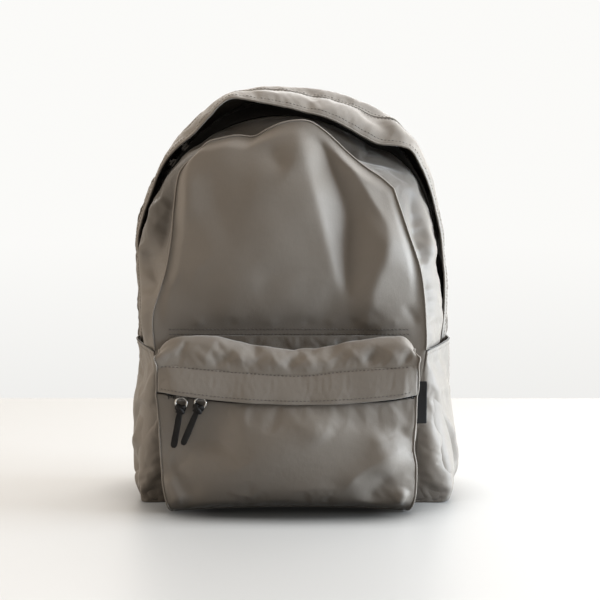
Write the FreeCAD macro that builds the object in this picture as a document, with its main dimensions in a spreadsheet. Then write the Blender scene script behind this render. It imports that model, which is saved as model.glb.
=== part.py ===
"""Daypack: an arch-topped day bag with a hooded main zip, a zipped front pocket, two open side
pockets, padded shoulder straps and a webbing grab handle.

Frame: +Z up, +Y towards the wearer's back, -Y towards the front pocket. The origin is the middle of
the base panel's underside. All sizes are millimetres.

Every sub-part is one object of the document, with its own Label, and is written to parts/LABEL.step.
The driving sizes live in the spreadsheet "Dims"; sketches and features are bound to its cells.
"""

import FreeCAD, Part
import math
import os

import Sketcher
from FreeCAD import Placement, Rotation, Vector

DRIVING_SIZES = [
    # sewn fabric and its clearances
    ("fabric", 1.5, "thickness of a sewn panel with its lining"),
    ("seam_gap", 0.3, "clearance left between sewn neighbours"),
    # depth of the bag, along Y
    ("front_y", -70.0, "outer face of the front panel"),
    ("rear_y", 70.0, "outer face of the back panel"),
    ("zip_y", 14.0, "centre line of the main zip"),
    # outline of the front panel, in the XZ plane
    ("front_foot_x", 146.0, "half width of the front panel at the base"),
    ("front_leg_x", 115.0, "half width of the front panel where its shoulder begins"),
    ("front_leg_z", 266.0, "height where the front panel's shoulder begins"),
    ("front_crown_x", 42.0, "half width of the front panel's flat crown"),
    ("front_crown_z", 349.0, "height of the ends of the front panel's crown"),
    ("front_shoulder_r", 95.0, "radius of the front panel's shoulders"),
    ("front_crown_r", 210.0, "radius of the front panel's crown"),
    # the arch at the main zip, and at the back panel
    ("zip_arch_r", 148.0, "radius of the shell at the main zip"),
    ("zip_arch_z", 252.0, "height of the centre of the main zip's arch"),
    ("zip_foot_x", 147.0, "half width of the shell at the base, under the main zip"),
    ("back_arch_r", 142.0, "radius of the back panel's arch"),
    ("back_arch_z", 249.0, "height of the centre of the back panel's arch"),
    ("back_foot_x", 140.0, "half width of the back panel at the base"),
    ("waist_z", 150.0, "height of the main zip's ends and of the side panels' top edges"),
    # base
    ("base_thick", 1.8, "thickness of the base panel"),
    ("board_thick", 3.0, "thickness of the base board"),
    # main zip and its hood
    ("tape_wide", 7.0, "width of one zip tape, as far as it shows"),
    ("tape_thick", 0.6, "thickness of a zip tape"),
    ("coil_gap", 1.0, "gap between the two coils, which a slider's post runs in"),
    ("coil_wide", 1.8, "width of one coil"),
    ("coil_thick", 2.0, "thickness of a coil"),
    ("hood_in_r", 157.0, "inner radius of the hood over the main zip"),
    ("hood_front_y", -5.0, "free edge of the hood"),
    ("hood_rear_y", 36.0, "sewn edge of the hood"),
    # front pocket
    ("pocket_y", -130.0, "outer face of the front pocket"),
    ("pocket_top_x", 124.0, "half width of the front pocket at its top"),
    ("pocket_foot_x", 117.0, "half width of the front pocket at its foot"),
    ("pocket_seam_z", 166.0, "height of the seam that joins the pocket's top to the front panel"),
    ("pocket_crest_z", 157.0, "height of the pocket's crest"),
    ("pocket_roll_r", 10.0, "radius of the roll from the pocket's top down into its face"),
    ("pocket_zip_z", 112.0, "centre line of the pocket zip"),
    ("pocket_zip_y", -128.0, "mid plane of the pocket zip's coils"),
    ("pocket_zip_x", 115.0, "half length of the pocket zip"),
    ("flap_top_z", 135.0, "stitched edge of the flap over the pocket zip, its hinge line"),
    ("flap_foot_z", 109.0, "free edge of the flap over the pocket zip"),
    ("flap_y", -136.5, "inner face of the pocket flap"),
    # side pockets
    ("side_pocket_y", 58.0, "half length of a side pocket's mouth"),
    ("side_pocket_z", 145.0, "height of a side pocket's mouth"),
    # sliders, rings and pulls
    ("slider_long", 10.0, "length of a slider"),
    ("slider_wide", 8.0, "width of a slider"),
    ("plate_thick", 1.0, "thickness of a slider's two plates"),
    ("ring_r", 5.3, "radius of a pull ring, to the middle of its wire"),
    ("ring_wire_r", 0.9, "radius of a pull ring's wire"),
    ("pull_wide", 5.4, "width of a leather pull"),
    ("pull_thick", 1.8, "thickness of a leather pull"),
    ("pull_long", 31.0, "length of a leather pull below its knot"),
    ("knot_wide", 9.0, "width of the knot of a leather pull"),
    ("main_left_angle", 146.0, "place of the left main slider round the arch, from +X"),
    ("main_right_angle", 138.0, "place of the right main slider round the arch, from +X"),
    ("pocket_slider_gap", 18.0, "distance between the two pocket sliders when they meet"),
    ("pocket_slider_x", -104.0, "rest place of the left pocket slider"),
    # back: straps, handle and their webbing
    ("strap_hinge_z", 374.0, "height of the seam that a shoulder strap hangs from"),
    ("strap_wide", 62.0, "width of a padded strap"),
    ("strap_top_x", 42.0, "centre of a strap at its top seam"),
    ("strap_low_x", 88.0, "centre of a strap at its lower end"),
    ("strap_low_z", 112.0, "height of a padded strap's lower end"),
    ("webbing_wide", 25.0, "width of the strap webbing"),
    ("webbing_thick", 1.6, "thickness of the strap webbing"),
    ("handle_half", 42.0, "half the distance between the handle's ends"),
    ("handle_reach", 34.0, "how far the handle's loop stands out"),
    ("handle_z", 381.0, "height of the handle's hinge line"),
]

DOC = FreeCAD.newDocument("Daypack")
SHEET = DOC.addObject("Spreadsheet::Sheet", "Dims")
SUB_PARTS = []


class Size:
    """A number together with the spreadsheet expression that gives it."""

    def __init__(self, value, text):
        self.value = float(value)
        self.text = text

    def _join(self, other, sign, value, swap=False):
        first, second = (as_size(other), self) if swap else (self, as_size(other))
        return Size(value(first.value, second.value), f"({first.text} {sign} {second.text})")

    def __add__(self, other):
        return self._join(other, "+", lambda a, b: a + b)

    def __radd__(self, other):
        return self._join(other, "+", lambda a, b: a + b, True)

    def __sub__(self, other):
        return self._join(other, "-", lambda a, b: a - b)

    def __rsub__(self, other):
        return self._join(other, "-", lambda a, b: a - b, True)

    def __mul__(self, other):
        return self._join(other, "*", lambda a, b: a * b)

    def __rmul__(self, other):
        return self._join(other, "*", lambda a, b: a * b, True)

    def __truediv__(self, other):
        return self._join(other, "/", lambda a, b: a / b)

    def __neg__(self):
        return Size(-self.value, f"(0 - {self.text})")


def as_size(x):
    return x if isinstance(x, Size) else Size(x, repr(float(x)))


def root(x):
    return Size(math.sqrt(x.value), f"sqrt({x.text})")


def cosine(degrees):
    return Size(math.cos(math.radians(degrees.value)), f"cos({degrees.text} * 1 deg)")


def sine(degrees):
    return Size(math.sin(math.radians(degrees.value)), f"sin({degrees.text} * 1 deg)")


class DrivingSizes:
    """The spreadsheet's cells by name, each as a Size."""


D = DrivingSizes()
for row, (alias, value, meaning) in enumerate(DRIVING_SIZES, start=1):
    SHEET.set(f"A{row}", meaning)
    SHEET.set(f"B{row}", repr(value))
    SHEET.setAlias(f"B{row}", alias)
    setattr(D, alias, Size(value, f"Dims.{alias}"))
DOC.recompute()


# ---------------------------------------------------------------- drawing helpers

PLANE_ROLES = {"XY": "XY_Plane", "XZ": "XZ_Plane", "YZ": "YZ_Plane"}


def sub_part(label):
    """A new body for the sub-part of this name."""
    body = DOC.addObject("PartDesign::Body", label)
    body.Label = label
    SUB_PARTS.append(body)
    return body


def arc_centre(start, end, radius, convex):
    """The centre of the arc from start to end; convex arcs turn left, as an outline's outside does."""
    chord = end - start
    across = Vector(-chord.y, chord.x, 0).normalize()
    height = math.sqrt(max(radius**2 - (chord.Length / 2) ** 2, 0.0))
    return start + chord * 0.5 + across * (height if convex else -height)


def add_segment(sketch, start, end, radius):
    """Adds a line, or an arc if radius isn't 0, and returns (index, first point, last point)."""
    if not radius:
        return sketch.addGeometry(Part.LineSegment(start, end)), 1, 2
    centre = arc_centre(start, end, abs(radius), radius > 0)
    first, last = (start, end) if radius > 0 else (end, start)
    angles = [math.atan2(p.y - centre.y, p.x - centre.x) for p in (first, last)]
    if angles[1] < angles[0]:
        angles[1] += 2 * math.pi
    circle = Part.Circle(centre, Vector(0, 0, 1), abs(radius))
    index = sketch.addGeometry(Part.ArcOfCircle(circle, *angles))
    return (index, 1, 2) if radius > 0 else (index, 2, 1)


def fix(sketch, kind, *place, size):
    """Adds a dimension to the sketch and binds it to its expression."""
    index = sketch.addConstraint(Sketcher.Constraint(kind, *place, size.value))
    sketch.setExpression(f"Constraints[{index}]", size.text)


def draw_loop(sketch, corners):
    """Draws a closed outline, anticlockwise. A corner is (across, up) or (across, up, radius), where
    radius makes the stretch to the next corner an arc: positive bulges outwards, negative inwards."""
    corners = [(as_size(c[0]), as_size(c[1]), as_size(c[2]) if len(c) > 2 else None) for c in corners]
    points = [Vector(across.value, up.value, 0) for across, up, _ in corners]
    segments = []
    for place, (_, _, radius) in enumerate(corners):
        following = points[(place + 1) % len(points)]
        segments.append(add_segment(sketch, points[place], following, radius.value if radius else 0))
    for place, (index, first, last) in enumerate(segments):
        across, up, radius = corners[place]
        following = segments[(place + 1) % len(segments)]
        sketch.addConstraint(Sketcher.Constraint("Coincident", index, last, following[0], following[1]))
        fix(sketch, "DistanceX", -1, 1, index, first, size=across)
        fix(sketch, "DistanceY", -1, 1, index, first, size=up)
        if radius:
            fix(sketch, "Radius", index, size=radius if radius.value > 0 else -radius)


def draw_circle(sketch, across, up, radius):
    across, up, radius = as_size(across), as_size(up), as_size(radius)
    centre = Vector(across.value, up.value, 0)
    index = sketch.addGeometry(Part.Circle(centre, Vector(0, 0, 1), radius.value))
    fix(sketch, "DistanceX", -1, 1, index, 3, size=across)
    fix(sketch, "DistanceY", -1, 1, index, 3, size=up)
    fix(sketch, "Radius", index, size=radius)


def sketch_at(body, plane, start, loops, circles=()):
    """A sketch parallel to one of the body's own planes, at coordinate start along that plane's axis."""
    start = as_size(start)
    sketch = body.newObject("Sketcher::SketchObject", f"{body.Name}_outline")
    origin_plane = next(f for f in body.Origin.OriginFeatures if f.Role == PLANE_ROLES[plane])
    sketch.AttachmentSupport = [(origin_plane, "")]
    sketch.MapMode = "FlatFace"
    sketch.setExpression("AttachmentOffset.Base.z", (-start if plane == "XZ" else start).text)
    for corners in loops:
        draw_loop(sketch, corners)
    for circle in circles:
        draw_circle(sketch, *circle)
    return sketch


def extrude(body, kind, plane, start, length, *loops, circles=()):
    """Pads or pockets loops from start, for length towards the positive side of the plane's axis."""
    length = as_size(length)
    feature = body.newObject(f"PartDesign::{kind}", f"{body.Name}_{kind.lower()}")
    feature.Profile = sketch_at(body, plane, start, loops, circles)
    feature.setExpression("Length", length.text)
    pads_backwards = plane == "XZ"
    feature.Reversed = pads_backwards if kind == "Pad" else not pads_backwards
    body.Tip = feature
    return feature


def pad(body, plane, start, length, *loops, circles=()):
    return extrude(body, "Pad", plane, start, length, *loops, circles=circles)


def pocket(body, plane, start, length, *loops, circles=()):
    """Cuts loops out of the body, and checks that something was cut."""
    DOC.recompute()
    before = body.Shape.Volume
    feature = extrude(body, "Pocket", plane, start, length, *loops, circles=circles)
    DOC.recompute()
    if body.Shape.Volume > before - 0.01:
        raise RuntimeError(f"{feature.Name} cut nothing")
    return feature


def loft(body, sketches):
    feature = body.newObject("PartDesign::AdditiveLoft", f"{body.Name}_loft")
    feature.Profile = sketches[0]
    feature.Sections = sketches[1:]
    feature.Ruled = True
    body.Tip = feature
    return feature


def round_edges(body, size, chosen):
    """Fillets the edges of the body's shape that chosen(edge) picks."""
    DOC.recompute()
    names = [f"Edge{i}" for i, edge in enumerate(body.Shape.Edges, start=1) if chosen(edge)]
    rounded = body.Tip
    fillet = body.newObject("PartDesign::Fillet", f"{body.Name}_rounding")
    fillet.Base = (rounded, names)
    fillet.setExpression("Radius", as_size(size).text)
    body.Tip = fillet
    return fillet


def rectangle(low_a, low_b, high_a, high_b):
    return [(low_a, low_b), (high_a, low_b), (high_a, high_b), (low_a, high_b)]


def runs_along(axis):
    """A test for straight edges along an axis, for round_edges."""

    def test(edge):
        ends = [v.Point for v in edge.Vertexes]
        return len(ends) == 2 and abs((ends[1] - ends[0]).normalize().dot(axis)) > 0.999

    return test


def mirror_of(source, label):
    """A sub-part that is the mirror image of another, across the bag's middle plane."""
    mirrored = DOC.addObject("Part::Mirroring", label)
    mirrored.Label = label
    mirrored.Source = source
    mirrored.Normal = (1, 0, 0)
    SUB_PARTS.append(mirrored)
    return mirrored


# ---------------------------------------------------------------- outlines shared by several panels


class Arch:
    """An arch-topped outline: sloping legs, round shoulders and a crown, symmetric about X = 0."""

    def __init__(self, foot_x, leg_x, leg_z, crown_x, crown_z, shoulder_r, crown_r):
        self.foot_x, self.leg_x, self.leg_z = foot_x, leg_x, leg_z
        self.crown_x, self.crown_z = crown_x, crown_z
        self.shoulder_r, self.crown_r = shoulder_r, crown_r

    def leg_at(self, height):
        """Half width of the outline where its sloping leg passes this height."""
        return self.foot_x - (self.foot_x - self.leg_x) * height / self.leg_z

    def corners(self, height, inset=0):
        """Corners from the right foot at this height, over the top, to the left foot."""
        foot, leg = self.leg_at(height) - inset, self.leg_x - inset
        lean = self.crown_x / self.crown_r
        crown_x = self.crown_x - lean * inset
        crown_z = self.crown_z - root(1 - lean * lean) * inset
        return [
            (foot, height),
            (leg, self.leg_z, self.shoulder_r - inset),
            (crown_x, crown_z, self.crown_r - inset),
            (-crown_x, crown_z, self.shoulder_r - inset),
            (-leg, self.leg_z),
            (-foot, height),
        ]

    def strip(self, height, thick, inset=0):
        """A band of this thickness that follows the outline from foot to foot."""
        inside = self.corners(height, inset + thick)
        back = []
        for place in range(len(inside) - 1, -1, -1):
            arc = inside[place - 1][2:] if place else ()
            back.append((*inside[place][:2], *(-r for r in arc)))
        return self.corners(height, inset) + back


def round_arch(radius, centre_z, foot_x):
    """A round-topped arch whose shoulders and crown are one circle, split at 30 degrees from the top."""
    return Arch(
        foot_x, radius, centre_z, radius * 0.5, centre_z + radius * math.sqrt(0.75), radius, radius
    )


BASE_TOP = D.base_thick + D.seam_gap
FRONT = Arch(
    D.front_foot_x, D.front_leg_x, D.front_leg_z, D.front_crown_x, D.front_crown_z,
    D.front_shoulder_r, D.front_crown_r,
)  # fmt: skip
ZIP = round_arch(D.zip_arch_r, D.zip_arch_z, D.zip_foot_x)
BACK = round_arch(D.back_arch_r, D.back_arch_z, D.back_foot_x)
INSIDE_FRONT = D.front_y + D.fabric + D.seam_gap
INSIDE_REAR = D.rear_y - D.fabric - D.seam_gap
GUSSET_EDGE = 8.0  # from the main zip's centre line to the folded edges of the gussets


# ---------------------------------------------------------------- the shell


def make_front_panel():
    pad(sub_part("front_panel"), "XZ", D.front_y, D.fabric, FRONT.corners(BASE_TOP))


def make_gussets():
    """The two bands that carry the main zip, one in front of it and one behind it."""
    foot = D.waist_z + D.seam_gap
    front = sub_part("front_gusset")
    loft(front, [
        sketch_at(front, "XZ", INSIDE_FRONT, [FRONT.strip(foot, D.fabric)]),
        sketch_at(front, "XZ", D.zip_y - GUSSET_EDGE, [ZIP.strip(foot, D.fabric)]),
    ])  # fmt: skip
    rear = sub_part("rear_gusset")
    loft(rear, [
        sketch_at(rear, "XZ", D.zip_y + GUSSET_EDGE, [ZIP.strip(foot, D.fabric)]),
        sketch_at(rear, "XZ", INSIDE_REAR, [BACK.strip(foot, D.fabric)]),
    ])  # fmt: skip


def side_section(arch):
    """The cut through a side panel: a leaning strip from the base to the waist."""
    foot, waist = arch.leg_at(BASE_TOP), arch.leg_at(D.waist_z)
    return [(foot - D.fabric, BASE_TOP), (foot, BASE_TOP), (waist, D.waist_z), (waist - D.fabric, D.waist_z)]


def make_side_panels():
    right = sub_part("right_side_panel")
    places = [(INSIDE_FRONT, FRONT), (D.zip_y, ZIP), (INSIDE_REAR, BACK)]
    loft(right, [sketch_at(right, "XZ", y, [side_section(arch)]) for y, arch in places])
    mirror_of(right, "left_side_panel")


def make_back():
    pad(sub_part("back_panel"), "XZ", D.rear_y - D.fabric, D.fabric, BACK.corners(BASE_TOP))
    foam_thick, sleeve_y, sleeve_thick = 7.0, 50.0, 1.2
    foam_foot, foam_inset = 8, 6
    foam = BACK.corners(foam_foot, foam_inset)
    pad(sub_part("back_foam"), "XZ", INSIDE_REAR - foam_thick - D.seam_gap, foam_thick, foam)
    half, foot, mouth, corner, binding = 116, 7, 255, 12, 5
    sleeve = [
        (-half, foot), (half, foot), (half, mouth - corner, corner), (half - corner, mouth),
        (corner - half, mouth, corner), (-half, mouth - corner),
    ]  # fmt: skip
    pad(sub_part("laptop_sleeve"), "XZ", sleeve_y, sleeve_thick, sleeve)
    edge = rectangle(corner - half, mouth + D.seam_gap, half - corner, mouth + binding)
    pad(sub_part("laptop_sleeve_binding"), "XZ", sleeve_y - 0.4, sleeve_thick + 0.8, edge)


def make_base():
    board_in = 5.0
    half_front, half_rear = D.front_foot_x, D.back_foot_x
    plan = [
        (-half_front, D.front_y), (half_front, D.front_y), (D.zip_foot_x, D.zip_y), (half_rear, D.rear_y),
        (-half_rear, D.rear_y), (-D.zip_foot_x, D.zip_y),
    ]  # fmt: skip
    base = sub_part("base_panel")
    pad(base, "XY", 0, D.base_thick, plan)
    upright = runs_along(Vector(0, 0, 1))
    round_edges(base, 8, lambda edge: upright(edge) and abs(edge.Vertexes[0].Y) > D.rear_y.value - 1)
    board = rectangle(
        board_in - half_rear, INSIDE_FRONT + board_in, half_rear - board_in, INSIDE_REAR - board_in - 10
    )
    pad(sub_part("base_board"), "XY", BASE_TOP, D.board_thick, board)


# ---------------------------------------------------------------- the main zip and its hood


def make_main_zip():
    """Two tapes, each with its coil along the edge that faces the other."""
    foot = D.waist_z + D.seam_gap
    inset = D.zip_arch_r - 146
    tape_in, coil_in = inset - D.tape_thick / 2, inset - D.coil_thick / 2
    near, far = D.coil_gap / 2, D.coil_gap / 2 + D.tape_wide
    coil_far = near + D.coil_wide
    ends = {"front": (D.zip_y - far, D.zip_y - coil_far), "rear": (D.zip_y + near, D.zip_y + near)}
    for name, (tape_y, coil_y) in ends.items():
        tape = sub_part(f"main_zip_{name}_tape")
        pad(tape, "XZ", tape_y, D.tape_wide, ZIP.strip(foot, D.tape_thick, tape_in))
        pad(tape, "XZ", coil_y, D.coil_wide, ZIP.strip(foot, D.coil_thick, coil_in))


def make_hood():
    """The rain hood: a band that stands clear of the zip, with a flange down to the rear gusset."""
    hood_arch = round_arch(D.hood_in_r + D.fabric, D.zip_arch_z, D.hood_in_r)
    foot, flange_thick = D.waist_z - 1.5, 1.5
    hood = sub_part("main_zip_hood")
    pad(hood, "XZ", D.hood_front_y, D.hood_rear_y - D.hood_front_y, hood_arch.strip(foot, D.fabric))
    stand_off = D.hood_in_r + D.fabric - D.zip_arch_r - D.seam_gap
    pad(hood, "XZ", D.hood_rear_y - flange_thick, flange_thick, hood_arch.strip(foot, stand_off))


# ---------------------------------------------------------------- the front pocket


def pocket_half(height):
    """Half width of the front pocket at this height."""
    return D.pocket_foot_x + (D.pocket_top_x - D.pocket_foot_x) * height / D.pocket_crest_z


ZIP_MOUTH = 5.0  # from the pocket zip's centre line to the folded edges of the fabric on each side


def make_pocket_face():
    foot, top = 1.2, D.pocket_zip_z - ZIP_MOUTH
    face = [
        (-pocket_half(foot), foot), (pocket_half(foot), foot),
        (pocket_half(top), top), (-pocket_half(top), top),
    ]  # fmt: skip
    pad(sub_part("pocket_face"), "XZ", D.pocket_y, D.fabric, face)


def make_pocket_top():
    """One panel that rises from the zip, rolls over the crest and runs back to the seam."""
    edge, inner = D.pocket_zip_z + ZIP_MOUTH, D.pocket_y + D.fabric
    roll = D.pocket_roll_r
    roll_z, seam_y = D.pocket_crest_z - roll, D.front_y - D.seam_gap
    crest_y = D.pocket_y + roll
    section = [
        (D.pocket_y, edge), (inner, edge), (inner, roll_z, D.fabric - roll),
        (crest_y, D.pocket_crest_z - D.fabric), (seam_y, D.pocket_seam_z - D.fabric),
        (seam_y, D.pocket_seam_z), (crest_y, D.pocket_crest_z, roll), (D.pocket_y, roll_z),
    ]  # fmt: skip
    half = D.pocket_top_x - 1
    pad(sub_part("pocket_top_panel"), "YZ", -half, half * 2, section)


def make_pocket_gussets():
    foot, top = D.fabric + D.base_thick, D.pocket_crest_z - 9
    front, rear = D.pocket_y + D.fabric + D.seam_gap, D.front_y - D.seam_gap
    right = sub_part("right_pocket_gusset")
    sections = []
    for height in (foot, top):
        outer = pocket_half(height) - 1
        plan = rectangle(outer - D.fabric, front, outer, rear - 1)
        sections.append(sketch_at(right, "XY", height, [plan]))
    loft(right, sections)
    mirror_of(right, "left_pocket_gusset")
    half = pocket_half(foot) - 4
    floor = rectangle(-half, front, half, rear)
    pad(sub_part("pocket_floor"), "XY", foot - D.fabric - D.seam_gap, D.fabric, floor)


def make_pocket_zip():
    """The two tapes of the pocket zip, above and below its centre line."""
    half, tail = D.pocket_zip_x, 2
    near, far = D.coil_gap / 2, D.coil_gap / 2 + D.tape_wide
    spans = {
        "upper": (near, far, near, near + D.coil_wide),
        "lower": (-far, -near, -near - D.coil_wide, -near),
    }
    for name, (tape_low, tape_high, coil_low, coil_high) in spans.items():
        tape = sub_part(f"pocket_zip_{name}_tape")
        z = D.pocket_zip_z
        flat = rectangle(-half - tail, z + tape_low, half + tail, z + tape_high)
        pad(tape, "XZ", D.pocket_zip_y - D.tape_thick / 2, D.tape_thick, flat)
        coil = rectangle(-half, z + coil_low, half, z + coil_high)
        pad(tape, "XZ", D.pocket_zip_y - D.coil_thick / 2, D.coil_thick, coil)


def make_pocket_flap():
    """The flap over the pocket zip, with the flange along its top edge that it hinges on."""
    half = pocket_half(D.flap_foot_z)
    flange, reach = 1.5, 6.0
    flap = sub_part("pocket_zip_flap")
    outline = rectangle(-half, D.flap_foot_z, half, D.flap_top_z)
    pad(flap, "XZ", D.flap_y - D.fabric, D.fabric, outline)
    strip = rectangle(-half, D.flap_top_z - flange, half, D.flap_top_z)
    pad(flap, "XZ", D.flap_y - D.fabric / 2, reach, strip)
    round_edges(flap, 0.6, runs_along(Vector(0, 1, 0)))


def make_label():
    """The blank woven label in the pocket's right seam."""
    seam_x, reach, low, high, depth, thick = 123.2, 9.0, 84, 125, -112.0, 0.8
    pad(sub_part("woven_label"), "XZ", depth, thick, rectangle(seam_x, low, seam_x + reach, high))


# ---------------------------------------------------------------- side pockets


def bowed(front_x, rear_x, front_y, rear_y, bow_r, thick):
    """A curved strip in plan, from front to rear, that bows away from the bag."""
    return [
        (front_x, front_y, bow_r), (rear_x, rear_y), (rear_x - thick, rear_y, thick - bow_r),
        (front_x - thick, front_y),
    ]  # fmt: skip


def make_side_pockets():
    """Open-topped pockets that bow out from the side panels, each with a bound mouth."""
    front_y, rear_y = -D.side_pocket_y, D.side_pocket_y
    clear = D.fabric + D.seam_gap * 2
    bow_r, binding, front_stand_off, rear_stand_off = 100.0, 2.4, 4.0, 2.2
    foot = BASE_TOP + D.seam_gap
    right = sub_part("right_side_pocket")
    sections = []
    for height in (foot, D.side_pocket_z):
        front_x = FRONT.leg_at(height) + clear + front_stand_off
        rear_x = BACK.leg_at(height) + clear + rear_stand_off
        plan = bowed(front_x, rear_x, front_y, rear_y, bow_r, D.fabric)
        sections.append(sketch_at(right, "XY", height, [plan]))
    loft(right, sections)
    mirror_of(right, "left_side_pocket")
    edge = sub_part("right_pocket_binding")
    height = D.side_pocket_z + D.seam_gap
    front_x = FRONT.leg_at(height) + clear + front_stand_off + 0.5
    rear_x = BACK.leg_at(height) + clear + rear_stand_off + 0.5
    pad(edge, "XY", height, binding, bowed(front_x, rear_x, front_y, rear_y, bow_r, binding))
    mirror_of(edge, "left_pocket_binding")


# ---------------------------------------------------------------- sliders, rings and pulls

CROWN_OUT = 5.3  # from the coils' mid plane to the hole in a slider's crown
HOLE_R = 1.15  # radius of that hole


def place(body, base, rotation):
    """Puts a body at base, three sizes, bound to their expressions."""
    body.Placement = Placement(Vector(*(as_size(b).value for b in base)), rotation)
    for axis, size in zip("xyz", base, strict=True):
        body.setExpression(f"Placement.Base.{axis}", as_size(size).text)


def make_slider(label, post_side):
    """A slider: two plates joined by a post, lips round the coils, and a crown that holds the ring.

    Its frame has X along the zip, Z across it and -Y outwards; the post is at the post_side end.
    """
    body = sub_part(label)
    half_long, half_wide = D.slider_long / 2, D.slider_wide / 2
    plate_in, lip_wide, lip_gap = 1.3, 0.9, 0.55
    nose = 1.6
    plan = [
        (-half_long, nose - half_wide), (nose - half_long, -half_wide), (half_long - nose, -half_wide),
        (half_long, nose - half_wide), (half_long, half_wide - nose), (half_long - nose, half_wide),
        (nose - half_long, half_wide), (-half_long, half_wide - nose),
    ]  # fmt: skip
    pad(body, "XZ", plate_in, D.plate_thick, plan)
    post_long, post_half, post_end = 2.2, 0.32, 4.4
    low_x = post_end - post_long if post_side > 0 else -post_end
    post = rectangle(low_x, -post_half, low_x + post_long, post_half)
    pad(body, "XZ", -plate_in - 0.2, 2 * plate_in + 0.4, post)
    pad(body, "XZ", -plate_in - D.plate_thick, D.plate_thick, plan)
    lips = [
        rectangle(nose - half_long, side_low, half_long - nose, side_high)
        for side_low, side_high in ((-half_wide, lip_wide - half_wide), (half_wide - lip_wide, half_wide))
    ]
    pad(body, "XZ", lip_gap, plate_in - lip_gap + 0.1, *lips)
    pad(body, "XZ", -plate_in - 0.1, plate_in - lip_gap + 0.1, *lips)
    crown_half, crown_r, root_y = 1.2, 2.05, -plate_in - D.plate_thick + 0.2
    crown = [
        (-CROWN_OUT, -crown_r), (root_y, -crown_r), (root_y, crown_r),
        (-CROWN_OUT, crown_r, crown_r + 0.01),
    ]  # fmt: skip
    pad(body, "YZ", -crown_half, 2 * crown_half, crown, circles=[(-CROWN_OUT, 0, HOLE_R)])
    return body


def make_ring(label):
    """A wire ring about the local Y axis; its frame's origin is its centre."""
    ring = DOC.addObject("Part::Torus", f"{label}_wire")
    ring.setExpression("Radius1", D.ring_r.text)
    ring.setExpression("Radius2", D.ring_wire_r.text)
    ring.Placement = Placement(Vector(), Rotation(Vector(1, 0, 0), 90))
    holder = DOC.addObject("Part::Compound", label)
    holder.Label = label
    holder.Links = [ring]
    SUB_PARTS.append(holder)
    return holder


def make_pull(label):
    """A leather thong looped through its ring: a loop, a knot and a tongue with a round end.

    Its frame's origin is the ring's centre, and it hangs along -Z.
    """
    body = sub_part(label)
    half, loop_r = D.pull_wide / 2, 2.65
    pad(body, "YZ", -half, D.pull_wide, circles=[(0, -D.ring_r, loop_r)])
    top = -D.ring_r - loop_r + 0.8
    knot_half, knot_deep, knot_thick, chamfer = D.knot_wide / 2, 5.0, 4.4, 1.5
    knot = [
        (-knot_half, top - knot_deep + chamfer), (chamfer - knot_half, top - knot_deep),
        (knot_half - chamfer, top - knot_deep), (knot_half, top - knot_deep + chamfer),
        (knot_half, top - chamfer), (knot_half - chamfer, top), (chamfer - knot_half, top),
        (-knot_half, top - chamfer),
    ]  # fmt: skip
    pad(body, "XZ", -knot_thick / 2, knot_thick, knot)
    tip = top - knot_deep - D.pull_long
    tongue = [(-half, tip, half + 0.01), (half, tip), (half, top - 1), (-half, top - 1)]
    pad(body, "XZ", -D.pull_thick / 2, D.pull_thick, tongue)
    groove = body.newObject("PartDesign::Groove", f"{label}_ring_groove")
    groove.Profile = sketch_at(body, "YZ", 0, [], circles=[(0, -D.ring_r, D.ring_wire_r + 0.25)])
    groove.ReferenceAxis = (next(f for f in body.Origin.OriginFeatures if f.Role == "Y_Axis"), [""])
    body.Tip = groove
    return body


def make_pulls_on(prefix, side, post_side, slider_base, turn, lean, dip=0):
    """A slider with its ring and its pull. turn carries the slider's frame into the bag's.

    The pull leans from the ring by an angle, and may dip towards the bag from its loop on.
    """
    slider = make_slider(f"{prefix}_slider_{side}", post_side)
    place(slider, slider_base, turn)

    def in_bag(offset):
        shift = turn.multVec(offset)
        return [as_size(b) + round(step, 6) for b, step in zip(slider_base, shift, strict=True)]

    ring_centre = Vector(0, -CROWN_OUT, -D.ring_r.value)
    place(make_ring(f"{prefix}_ring_{side}"), in_bag(ring_centre), turn)
    leaning, dipping = Rotation(Vector(0, 1, 0), lean), Rotation(Vector(1, 0, 0), dip)
    loop_centre = Vector(0, 0, -D.ring_r.value)
    slip = leaning.multVec(loop_centre - dipping.multVec(loop_centre))
    pull_turn = turn.multiply(leaning).multiply(dipping)
    place(make_pull(f"{prefix}_pull_{side}"), in_bag(ring_centre + slip), pull_turn)


def make_pocket_pulls():
    level = Rotation()
    left = (D.pocket_slider_x, D.pocket_zip_y, D.pocket_zip_z)
    right = (D.pocket_slider_x + D.pocket_slider_gap, D.pocket_zip_y, D.pocket_zip_z)
    make_pulls_on("pocket", "left", +1, left, level, 10)
    make_pulls_on("pocket", "right", -1, right, level, 23)


def make_main_pulls():
    """The main sliders meet high on the left of the arch. Both pulls lie along the zip, under the
    hood: the right one in front of the coils and the left one behind them."""
    coil_r = D.zip_arch_r - 2
    lean, dip = 85, 9
    for side, ring_towards, angle in (("left", 1, D.main_left_angle), ("right", -1, D.main_right_angle)):
        base = (coil_r * cosine(angle), D.zip_y, D.zip_arch_z + coil_r * sine(angle))
        around = math.radians(angle.value)
        inwards = Vector(-math.cos(around), 0, -math.sin(around))
        up = Vector(0, -ring_towards, 0)
        turn = Rotation(inwards.cross(up), inwards, up, "XYZ")
        make_pulls_on("main", side, -1, base, turn, lean, dip)


# ---------------------------------------------------------------- shoulder straps and handle

STRAP_LAYERS = (("mesh", 0.0, 1.3), ("foam", 1.5, 7.0), ("cover", 8.7, 1.3))
STRAP_DROP = 12  # from the strap's top seam down to the start of its padding


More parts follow.
